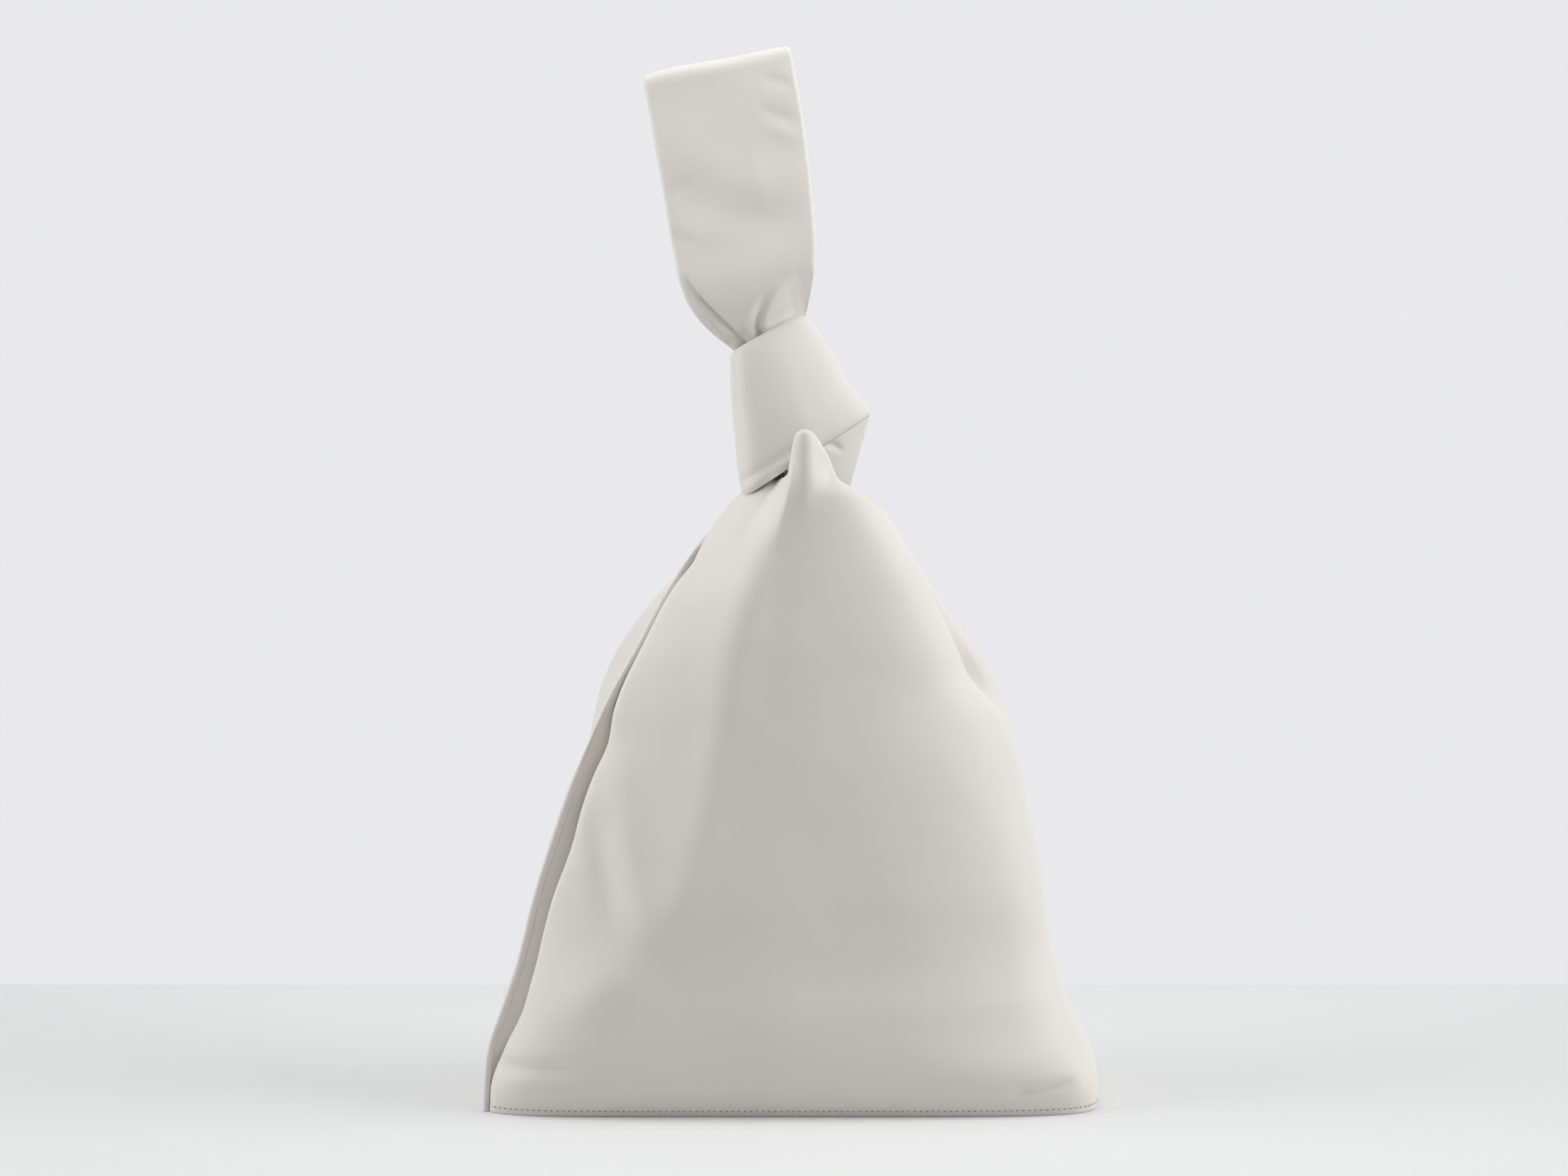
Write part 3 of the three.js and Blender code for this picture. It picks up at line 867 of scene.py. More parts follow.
    # Y of the foremost and of the rearmost place, and X of the ridge at which the front is foremost.
    front: Curve = smooth([
        (0, -43.5), (10, -47.5), (25, -50), (60, -48), (110, -42.6), (150, -38.2), (180, -35.2),
        (205, -33.2), (226, -32.2), (245, -32), (276, -32.5),
    ])
    rear: Curve = smooth([(0, 45), (40, 49.5), (110, 46), (180, 39), (226, 33), (245, 31), (276, 31)])
    crest: Curve = smooth([
        (0, -32), (60, -50), (98, -36), (131, -28.5), (180, -20), (226, -8), (245, 2), (276, 8),
    ])
    # Widths of the recess beside the left seam and of the rim before it.
    recess: Curve = smooth([
        (0, -0.8), (12, -0.2), (24, 3.0), (38, 5.0), (54, 4.4), (70, 3.9), (84, 4.0), (104, 4.9), (118, 4.2),
        (131, 4.3), (144, 4.6), (158, 1.4), (176, -0.4), (193, -0.9), (203, -0.8), (210, -0.2), (216, 1.0),
        (222, 0.2), (230, -0.4), (276, 0.2),
    ])
    rim: Curve = smooth([(0, 2.7), (190, 2.7), (212, 2.4), (222, 1.7), (231, 0.4), (276, 0.2)])
    # How far the faces puff out at the left seam, how steeply the front leaves it, and how boxy they are.
    puff: Curve = smooth([
        (0, 0.6), (15, 1.2), (25, 3), (40, 7), (60, 9), (150, 9), (200, 6), (215, 3.5), (230, 2), (276, 2),
    ])
    slope: Curve = smooth([
        (0, 7), (25, 4), (60, 1.9), (110, 1.3), (180, 1.2), (220, 1.4), (240, 2.6), (276, 3),
    ])
    boxiness: Curve = smooth([
        (0, 7), (12, 5), (25, 3.2), (45, 2.5), (90, 2.2), (150, 2.15), (226, 2.2), (276, 2.2),
    ])
    # At the right shoulder: how much of the rear shows, and how far inside the rim the front's round ends.
    sliver: Curve = smooth([
        (0, 0), (144, 0), (151, 0.8), (157, 3.2), (163, 7.5), (170, 10.5), (178, 9.6), (186, 7.6),
        (199, 4.2), (211, 1.0), (235, 0.2), (276, 0),
    ])
    shoulder: Curve = smooth([
        (0, 0), (112, 0), (132, 4), (148, 8), (160, 10), (172, 9.6), (186, 7), (199, 3.8), (211, 0.9),
        (276, 0),
    ])
    # How far the rear stands out past the left rim.
    rear_bulge: Curve = smooth([
        (0, -2), (124, -2), (140, 0), (150, 2.0), (160, 4.4), (170, 6.4), (180, 7.2), (190, 6.0), (200, 3.2),
        (210, 0.4), (276, -1),
    ])
    # Heights of the mouth's front and rear edge, by X; the front's has the peak before the knot.
    front_edge: Curve = smooth([
        (-30, 257), (-10, 257), (-7.5, 254.5), (-5.5, 251.2), (-3, 250.6), (-0.8, 251.6), (0.5, 253.4),
        (1.3, 258), (1.8, 263), (2.8, 267), (4.8, 269.2), (8.3, 269.6), (10.6, 268.8), (13.2, 265.8),
        (15.6, 262), (17.8, 257.8), (19.2, 254), (20.4, 251.4), (22, 249.8), (25, 248.2), (31, 243.7),
        (39, 238.4),
    ])
    rear_edge: Curve = smooth([
        (-30, 256), (-2, 256), (4, 250), (12, 248), (24, 245), (33, 240), (40, 235),
    ])
    # X of the crease that the left shoulder is drawn in along, and half its width.
    crease: Curve = straight([(200, -24), (226, -11), (240, -5), (253, -0.8), (265, -0.5)])
    crease_width: Curve = straight([(200, 22), (226, 9), (240, 5), (253, 3)])

    front_folds: tuple[Fold, ...] = (
        # The crease above the hem at the left, the swell below it, and the crease at the right.
        Fold(((-122, 18.5), (-104, 19), (-76, 20.5)), -1.8, 2.6),
        Fold(((-118, 12), (-108, 13), (-96, 14)), 0.6, 4.0),
        Fold(((84, 9.4), (101, 10.8), (117, 13.6)), -1.6, 1.8, 0.3),
        # The long ridge left of the middle, the hollow beside it, and the ridge that turns off to the left.
        Fold(((-68, 146), (-61, 100), (-52, 61)), 1.1, 6.0, 0.25),
        Fold(((-78, 128), (-73, 96), (-66, 66)), -1.0, 5.0),
        Fold(((-50, 65), (-70, 53), (-94, 40)), 2.0, 10.0, 0.45),
        # The small roll at the left of the mouth, and the ridge that falls from the peak.
        Fold(((-19, 241), (-10, 246), (-3, 250)), 1.6, 3.0, 0.2),
        Fold(((-8, 226), (-21, 180), (-29, 131), (-37, 98), (-50, 62)), 1.5, 9.0, 0.15),
    )

    def tuck_at(self, z: float) -> float:
        """How far the rim of the left seam is drawn in at a height."""
        return self.tuck * float(step(z, *self.tuck_rise))

    def flap_at(self, z: float) -> float:
        """How far the right seam's allowance reaches in at a height."""
        return self.flap - self.flap_loss * float(step(z, *self.flap_rise))

    def sunk(self, z: float) -> float:
        """How far the recess sinks behind the left rim at a height."""
        depth = self.recess_depth + self.recess_deepening * step(z, *self.recess_deepens)
        return float(depth * step(z, *self.recess_foot) * fall(z, *self.recess_head))

    def flank(self, crest: Pair, end: Pair, box: float, flare: float = 0.0) -> np.ndarray:
        """The right half of a section, a quarter of a rounded box.

        Args:
            crest: X and Y at which it starts.
            end: X and Y at which it ends, at the side.
            box: The power that squares it off.
            flare: How far its end turns out.

        Returns:
            X and Y of its points, after the first.
        """
        turn = np.linspace(0, math.pi / 2, self.arc_points)[1:]
        out = flare * step(turn, self.flare_from, math.pi / 2)
        x = crest[0] + (end[0] - crest[0]) * np.sin(turn) ** box + out
        y = end[1] + (crest[1] - end[1]) * np.cos(turn) ** box
        return np.stack([x, y], axis=1)

    def front_section(self, z: float) -> np.ndarray:
        """The outline of the front at a height, from the left rim to the right rim.

        Args:
            z: The height.

        Returns:
            X and Y of its points.
        """
        left, right = float(self.left(z)), float(self.right(z))
        left_seam, right_seam = float(self.left_seam(z)), float(self.right_seam(z))
        recess, rim, tuck = float(self.recess(z)), float(self.rim(z)), self.tuck_at(z)
        crest, depth = float(self.crest(z)), float(self.front(z))
        box = 2 / float(self.boxiness(z))
        edge = left + rim + recess
        edge_y = left_seam - self.layer - float(self.puff(z))
        head = [
            (left + 0.62 * rim + tuck, left_seam - 0.3 * rim),
            (left + 1.2 * rim + tuck, left_seam + 0.15 * rim),
            (edge + 0.35 * recess + 0.4 * rim + tuck, left_seam + 2.4 + self.sunk(z)),
            (edge + 0.1 * recess, edge_y + 1.5),
        ]
        s = np.linspace(0, 1, self.arc_points)[1:]
        face_x = edge + (crest - edge) * s
        face_y = edge_y + (depth - edge_y) * (1 - (1 - s) ** float(self.slope(z)))
        side, reach = float(self.side(z)), right - float(self.shoulder(z))
        flare = right - float(self.sliver(z)) - reach
        flank = self.flank((crest, depth), (reach, side), box, flare)
        undercut = min(max((right_seam - side) / 8, 0.15), 1.0)
        brim = reach + flare
        tail = [(brim - 1.5 * undercut, right_seam - 0.1), (brim - self.flap_at(z), right_seam - 0.1)]
        line = np.vstack([head, np.stack([face_x, face_y], axis=1), flank, tail])
        crisp, soft = rounded(line, self.crisp), rounded(line, self.soft)
        gone = np.linspace(0, 1, len(crisp))[:, None] * run_length(crisp)
        middle = step(gone, *self.soft_from) * step(gone[-1] - gone, *self.soft_from)
        return crisp + (soft - crisp) * (middle * fall(z, *self.soft_head))

    def rear_section(self, z: float) -> np.ndarray:
        """The outline of the rear at a height, from the left rim to the right rim.

        Args:
            z: The height.

        Returns:
            X and Y of its points.
        """
        left, right = float(self.left(z)) + 1.1 * self.tuck_at(z), float(self.right(z))
        left_seam, right_seam = float(self.left_seam(z)), float(self.right_seam(z))
        rim, sliver, flap = float(self.rim(z)), float(self.sliver(z)), self.flap_at(z)
        crest, depth = 0.5 * (left + right), float(self.rear(z))
        box = 2 / float(self.boxiness(z))
        edge, edge_y = left - float(self.rear_bulge(z)), left_seam + self.layer + float(self.puff(z))
        head = [
            (left + 0.95 * rim, left_seam + 0.1 * rim),
            (left + 0.8 * rim, left_seam - 0.4 * rim),
            (left + 0.12 * rim, left_seam - 0.68 * rim),
            (left - 0.15 * rim, left_seam - 0.2 * rim),
            (left + 0.1 * rim, left_seam + self.layer + 2),
        ]
        s = np.linspace(0, math.pi / 2, self.arc_points)
        face_x = edge + (crest - edge) * (1 - np.cos(s) ** box)
        face_y = edge_y + (depth - edge_y) * np.sin(s) ** box
        reach = right - self.rear_inset * float(fall(z, *self.rear_inset_head))
        flank = self.flank((crest, depth), (reach, right_seam + self.rear_side), box)
        groove = self.groove[0] * min(sliver, self.groove[1])
        tail = [
            (reach - 0.3 * sliver - 0.5, right_seam + 4 + groove),
            (reach - sliver - 0.38 * flap, right_seam + 0.2 + groove),
            (reach - sliver - flap, right_seam + 0.1),
        ]
        line = np.vstack([head, np.stack([face_x, face_y], axis=1), flank, tail])
        return rounded(line, self.rear_round)

    def section(self, face: Face, z: float) -> np.ndarray:
        """The outline of one face at a height, from its left rim to its right rim, as X and Y."""
        return self.front_section(z) if face is Face.FRONT else self.rear_section(z)

    def at_height(self, table: np.ndarray, z: np.ndarray) -> np.ndarray:
        """Places between the sections of a table.

        Args:
            table: Sections at even heights, by height and column.
            z: Heights, by row and column.

        Returns:
            X and Y of each column at those heights.
        """
        i = np.clip((z / self.level_pitch).astype(int), 0, len(table) - 2)
        part = (z / self.level_pitch - i)[..., None]
        column = np.broadcast_to(np.arange(table.shape[1]), z.shape)
        return table[i, column] * (1 - part) + table[i + 1, column] * part

    def drawn_in(self, face: Face, x: np.ndarray, y: np.ndarray, z: np.ndarray) -> np.ndarray:
        """Draws a face in round the knot and lays the folds on the front.

        Args:
            face: The face.
            x: Places across.
            y: Places from front to back.
            z: Heights.

        Returns:
            The new places from front to back.
        """
        if face is Face.FRONT:
            peak = self.peak * hump(x, *self.peak_at) * step(z, *self.peak_rise)
            back = self.lie_back * step(x, *self.lie_back_at) * step(z, *self.lie_back_rise)
            y = y - peak + back
            for fold in self.front_folds:
                y = y - fold.relief(x, z)
        tucked = fall((x - self.crease(z)) / self.crease_width(z), -1, 1)
        notch = self.notch * step(z, *self.notch_rise) * hump(x, *self.notch_at)
        return y * (1 - (self.draw * step(z, *self.draw_rise) + notch) * tucked)

    def grid(self, face: Face, columns: int, rows: int) -> np.ndarray:
        """Rows and columns of places over the outside of one face, from the base to the mouth's edge.

        Args:
            face: The face.
            columns: How many places across.
            rows: How many places up to the neck, above the hem.

        Returns:
            The places.
        """
        sections = []
        share = np.linspace(0, 1, columns)
        for level in np.arange(0, self.top, self.level_pitch):
            line = self.section(face, level)
            length = run_length(line)
            fine = self.fine_run * min(1.0, length / self.fine_section) / length
            even = np.interp(share, [0, *self.fine_columns, 1], [0, fine, 1 - fine, 1])
            sections.append(resample(line, even))
        table = np.array(sections)
        edge = self.front_edge if face is Face.FRONT else self.rear_edge
        rim = np.full(columns, self.mouth_guess)
        # The edge's height depends on X and X on the height, so a few rounds settle both.
        for _ in range(self.mouth_rounds):
            rim = edge(np.maximum.accumulate(self.at_height(table, rim[None, :])[0, :, 0]))
        hem = np.arange(0, self.hem_height, self.hem_pitch)
        levels = np.concatenate([hem, np.linspace(self.hem_height, self.neck_height, rows)])
        above = np.linspace(0, 1, rows // self.neck_rows)[1:, None]
        neck = self.neck_height + (rim - self.neck_height) * above
        z = np.concatenate([levels[:, None] * np.ones(columns), neck])
        flat = self.at_height(table, z)
        x = flat[..., 0]
        return np.stack([x, self.drawn_in(face, x, flat[..., 1], z), z], axis=2)

    def build_face(self, face: Face, finishes: Finishes) -> None:
        """Makes one face of the pouch with its lining, its mouth facing and its stitches.

        Args:
            face: The face.
            finishes: The materials.
        """
        name = face.name.lower()
        columns, rows = self.front_mesh if face is Face.FRONT else self.rear_mesh
        points = self.grid(face, columns, rows)
        normals = grid_normals(points) * -face.value
        z = points[..., 2]
        swell = softness(points, self.swell[0], self.seeds[0] + face.value) * self.swell[1]
        soft = swell + softness(points, self.ripple[0], self.seeds[1]) * self.ripple[1]
        dip, dip_width = self.base_seam_dip
        lift = soft * step(z, *self.soft_foot) - dip * hump(z, self.base_seam, dip_width)
        lift[-2:] -= np.array(self.mouth_turn)[:, None]
        outside = points + normals * lift[..., None]
        panel = laid_sheet(f"{name}_leather", outside, flip=face is Face.REAR)
        thicken(panel, self.leather)
        root = ("long_handle_root",) if face is Face.FRONT else ()
        dress(panel, finishes.nappa, "nappa", Body.BAG, f"{name}_panel", *root)
        inner = slice(self.lining_margin, columns - self.lining_margin, self.lining_stride)
        inside = points[:, inner] - normals[:, inner] * self.under
        facing_row = int(np.searchsorted(z[:, columns // 2], self.facing_foot))
        lining = inside[self.lining_foot : facing_row : self.lining_stride]
        facing = inside[facing_row : -1 : self.facing_stride]
        for node, laid, material, slot in (
            (f"{name}_lining", lining, finishes.suede, "suede"),
            (f"{name}_mouth_facing", facing, finishes.nappa, "nappa"),
        ):
            sheet = laid_sheet(f"{node}_{slot}", laid, flip=face is Face.FRONT)
            thicken(sheet, self.suede)
            dress(sheet, material, slot, Body.BAG, node)
        row = int(round(self.base_seam / self.hem_pitch))
        sewn = slice(self.thread_margin, columns - self.thread_margin)
        self.stitching.sew(f"{name}_base_thread", outside[row, sewn], normals[row, sewn], finishes)
        if face is Face.FRONT:
            seam_rows = np.arange(self.side_seam_foot, np.searchsorted(z[:, 0], self.side_seam_top))
            self.sew_sides(outside, normals, seam_rows, finishes)

    def sew_sides(
        self, outside: np.ndarray, normals: np.ndarray, row: np.ndarray, finishes: Finishes
    ) -> None:
        """Sews the two side seams, where the front turns back at its left and at its right end.

        Args:
            outside: The front's places.
            normals: The way out at each place.
            row: The rows that the seams pass.
            finishes: The materials.
        """
        # The left end turns back where X first runs to the left.
        corner = np.argmax(np.diff(outside[row, : self.rim_columns, 0], axis=1) < 0, axis=1)
        self.stitching.sew("left_seam_thread", outside[row, corner], normals[row, corner], finishes)
        self.stitching.sew("right_seam_thread", outside[row, -1], normals[row, -1], finishes)

    def build_base(self, finishes: Finishes) -> None:
        """Makes the base: leather below, felt to stiffen it, and its lining.

        Args:
            finishes: The materials.
        """
        front, rear = (self.section(face, self.base_level) for face in Face)
        columns, rows = self.base_mesh
        left, right = float(self.left(0)) + self.base_inset[0], float(self.right(0)) - self.base_inset[1]
        across = np.linspace(left, right, columns)
        near = np.array([front[np.abs(front[:, 0] - x) < self.base_slice][:, 1].min() for x in across])
        far = np.array([rear[np.abs(rear[:, 0] - x) < self.base_slice][:, 1].max() for x in across])
        near, far = near + self.leather + self.base_gap, far - self.leather - self.base_gap
        share = np.linspace(0, 1, rows)[:, None]
        y = near * (1 - share) + far * share
        flat = np.stack([np.broadcast_to(across, y.shape), y, np.zeros(y.shape)], axis=2)
        level = 0.0
        for name, thickness, material, slot in (
            ("base_panel", self.leather, finishes.nappa, "nappa"),
            ("base_interlining", self.felt, finishes.felt, "felt"),
            ("base_lining", self.suede, finishes.suede, "suede"),
        ):
            laid = flat + np.array([0, 0, level])
            sheet = laid_sheet(f"{name}_{slot}", laid, flip=True)
            thicken(sheet, thickness)
            dress(sheet, material, slot, Body.BAG, name)
            level += thickness + self.layer_gap

    def build(self, finishes: Finishes) -> None:
        """Makes all of the pouch.

        Args:
            finishes: The materials.
        """
        for face in Face:
            self.build_face(face, finishes)
        self.build_base(finishes)


def flat_oval(flat: int, bend: int, edge: float) -> tuple[np.ndarray, np.ndarray]:
    """The section of a padded strap: two flats joined by round edges.

    Args:
        flat: Points on each flat.
        bend: Points on each round edge.
        edge: The round edge's share of the half width.

    Returns:
        Places across the strap and through it, each from -1 to 1, in order round the section.
    """
    run = np.linspace(-1 + edge, 1 - edge, flat)
    turn = np.linspace(math.pi / 2, -math.pi / 2, bend + 2)[1:-1]
    right = 1 - edge + edge * np.cos(turn)
    across = np.concatenate([run, right, run[::-1], -right])
    through = np.concatenate([np.ones(flat), np.sin(turn), -np.ones(flat), -np.sin(turn)])
    return across, through


@dataclass
class Wrap:
    """The short handle: a padded sleeve wound once round the long one, and its leg down into the mouth.

    Seen from the front it is a leaning band, creased over at its left and drawn to a blunt point at its
    right.

    Attributes:
        thickness: Thickness of the sleeve with its padding.
        height: Height of the band.
        low: X and Z of the middle of its lower edge.
        high: X and Z of the middle of its upper edge.
        half_widths: Half its width at the lower and at the upper edge.
        half_depths: Half its depth at the lower and at the upper edge.
        tilts: How far each edge leans, in degrees.
        waist: Half of how far its right end is drawn in above the lower edge.
        waist_at: The share of its height at which that is, and half its width as such a share.
        round_radius: Radius that softens the corners of its outline.
        hem: Height of the hem's groove above the lower edge.
        hem_groove: Depth and half the width of that groove.
        hem_roll: How far the roll below it stands out, and half its width.
        hem_back: Y over which the hem dies away towards the band's ends.
        hem_right: X over which it dies away towards the band's point.
        puff: How far the padding swells each face.
        thinning: The share of the thickness that is lost at the edges.
        uneven: Size and depth of its soft unevenness.
        seed: What picks the pattern of that.
        turns: Places round the band.
        mesh: Points on each flat and on each round edge of its section.
        edge_share: The round edge's share of the half height.
        leg_foot: Half the width and half the depth of the leg's foot, and its height.
        leg_reach: How far the leg runs on below that.
        leg_taper: The share of the foot's width and depth that it ends with.
        leg_turns: Places of the band, each way from its right end, that the leg hangs from.
        leg_sweep: Half the angle that the foot runs round, in degrees.
        leg_under: How far the leg's top lies inside the band's lower edge, and how far below it.
        leg_mesh: Rows above the foot and below it.
        leg_leather: Thickness of the leg with its padding.
        leg_edge: How far the leg's edges are rounded over.
        leg_pleat: The crease where the leg folds in under the band, by X and Z.
        outline: The band from above, from its left end round, as shares of its half width and half depth.
    """

    thickness: float = 3.8
    height: float = 52.0
    low: Pair = (9.0, 259.5)
    high: Pair = (-7.8, 309.0)
    half_widths: Pair = (32.2, 17.6)
    half_depths: Pair = (18.0, 13.0)
    tilts: Pair = (33.0, 29.5)
    waist: float = 0.9
    waist_at: Pair = (0.3, 0.18)
    round_radius: float = 3.0
    hem: float = 5.6
    hem_groove: Pair = (0.9, 1.3)
    hem_roll: Pair = (0.5, 2.0)
    hem_back: Pair = (-6.0, 0.0)
    hem_right: Pair = (0.0, 9.0)
    puff: float = 0.9
    thinning: float = 0.4
    uneven: Pair = (22.0, 0.35)
    seed: float = 11.0
    turns: int = 150
    mesh: tuple[int, int] = (34, 7)
    edge_share: float = 0.085
    leg_foot: tuple[float, float, float] = (15.6, 12.5, 243.0)
    leg_reach: float = 30.0
    leg_taper: float = 0.85
    leg_turns: int = 44
    leg_sweep: float = 80.0
    leg_under: Pair = (1.6, 0.15)
    leg_mesh: tuple[int, int] = (34, 16)
    leg_leather: float = 3.4
    leg_edge: float = 1.2
    leg_pleat: Fold = Fold(((14, 265), (19, 263.6), (23.5, 261)), -1.1, 1.3, 0.4)
    outline: tuple[Pair, ...] = (
        (-1.0, 0.0), (-0.96, -0.5), (-0.84, -0.86), (-0.6, -1.0), (-0.25, -0.98), (0.1, -0.86), (0.5, -0.58),
        (0.8, -0.3), (1.0, 0.0), (0.8, 0.42), (0.5, 0.72), (0.0, 0.95), (-0.5, 0.95), (-0.85, 0.6),
        (-0.97, 0.3),
    )

    def ring(self, half: np.ndarray) -> tuple[np.ndarray, np.ndarray]:
        """The band's outline at one height, with soft corners.

        Args:
            half: Its half width and half depth.

        Returns:
            Places and outward directions round it, across and through the band.
        """
        # The outline is evened out on points closer than the mesh's, over a number of them each way.
        finer, reach = 4, 24
        closed = np.array([*self.outline, self.outline[0]]) * half
        even = resample(closed, np.linspace(0, 1, finer * self.turns, endpoint=False))
        weights = bell(reach, run_length(closed) / (finer * self.turns), self.round_radius)
        shifts = range(-reach, reach + 1)
        soft = sum(w * np.roll(even, -k, axis=0) for k, w in zip(shifts, weights))[::finer]
        ahead = np.roll(soft, -1, axis=0) - np.roll(soft, 1, axis=0)
        out = np.stack([ahead[:, 1], -ahead[:, 0]], axis=1)
        out /= np.linalg.norm(out, axis=1, keepdims=True)
        return soft, out * np.sign((out * soft).sum())

    def rims(self, shares: np.ndarray) -> tuple[np.ndarray, np.ndarray]:
        """Outer places and outward directions round the band.

        Args:
            shares: From its lower edge (0) to its upper edge (1), one for each ring.

        Returns:
            The places and the directions, each ring by turn by three.
        """
        places, ways = [], []
        for share in shares:
            waist = self.waist * float(hump(share, *self.waist_at))
            half = np.array([between(self.half_widths, share) - waist, between(self.half_depths, share)])
            soft, out = self.ring(half)
            tilt = math.radians(between(self.tilts, share))
            lean = np.array([math.cos(tilt), math.sin(tilt)])
            x, z = np.array(self.low) + (np.array(self.high) - np.array(self.low)) * share - waist * lean
            places.append(np.stack([x + soft[:, 0] * lean[0], soft[:, 1], z + soft[:, 0] * lean[1]], axis=1))
            ways.append(np.stack([out[:, 0] * lean[0], out[:, 1], out[:, 0] * lean[1]], axis=1))
        return np.array(places), np.array(ways)

    def build_band(self, finishes: Finishes) -> None:
        """Makes the band that is wound round the long handle.

        Args:
            finishes: The materials.
        """
        across, through = flat_oval(*self.mesh, self.edge_share)
        places, ways = self.rims(0.5 + 0.5 * across)
        across, through = across[:, None], through[:, None]
        half = 0.5 * self.thickness
        height = (0.5 + 0.5 * across) * self.height
        # The hem shows only on the outside of the front.
        shown = (through > 0) * fall(places[..., 1], *self.hem_back) * fall(places[..., 0], *self.hem_right)
        groove = self.hem_groove[0] * hump(height, self.hem, self.hem_groove[1])
        roll = self.hem_roll[0] * hump(height, 0.5 * self.hem, self.hem_roll[1])
        puff = self.puff * (1 - across**4) * np.sign(through)
        thin = 1 - self.thinning * across**8
        depth = half - through * half * thin + (groove - roll) * shown - puff
        points = places - ways * depth[..., None]
        uneven = self.uneven[1] * softness(points, self.uneven[0], self.seed)
        points = points + ways * uneven[..., None]
        wrap = laid_tube("short_handle_wrap", np.swapaxes(points, 0, 1), closed=True)
        dress(wrap, finishes.nappa, "nappa", Body.KNOT, "short_handle_sleeve", "short_handle_padding")

    def build_leg(self, finishes: Finishes) -> None:
        """Makes the leg that runs from under the band's right end down into the mouth.

        Args:
            finishes: The materials.
        """
        places, ways = self.rims(np.array([0.0]))
        rim, way = places[0], ways[0]
        middle = int(np.argmax(rim[:, 0]))
        picked = [(middle + k) % self.turns for k in range(-self.leg_turns, self.leg_turns + 1)]
        sweep = math.radians(self.leg_sweep)
        angle = np.linspace(-sweep, sweep, len(picked))
        radius, depth, foot = self.leg_foot
        x = self.low[0] + radius * np.cos(angle)
        lower = np.stack([x, depth * np.sin(angle), np.full(len(angle), foot)], axis=1)
        upper = rim[picked] - way[picked] * self.leg_under[0] - np.array([0.0, 0.0, self.leg_under[1]])
        axis = np.array([self.low[0], 0, 0])
        taper = np.array([self.leg_taper, self.leg_taper, 1])
        deep = (lower - axis) * taper + axis - np.array([0, 0, self.leg_reach])
        share, below = (np.linspace(0, 1, rows)[:, None, None] for rows in self.leg_mesh)
        hidden = (deep * (1 - below) + lower * below)[:-1]
        outer = np.concatenate([hidden, lower * (1 - share) + upper * share])
        outer[..., 1] -= self.leg_pleat.relief(outer[..., 0], outer[..., 2]) * (outer[..., 1] < 0)
        leg = laid_sheet("short_handle_leg", outer)
        thicken(leg, self.leg_leather, self.leg_edge)
        dress(leg, finishes.nappa, "nappa", Body.KNOT, "short_handle_root")

    def build(self, finishes: Finishes) -> None:
        """Makes the band and its leg."""
        self.build_band(finishes)
        self.build_leg(finishes)


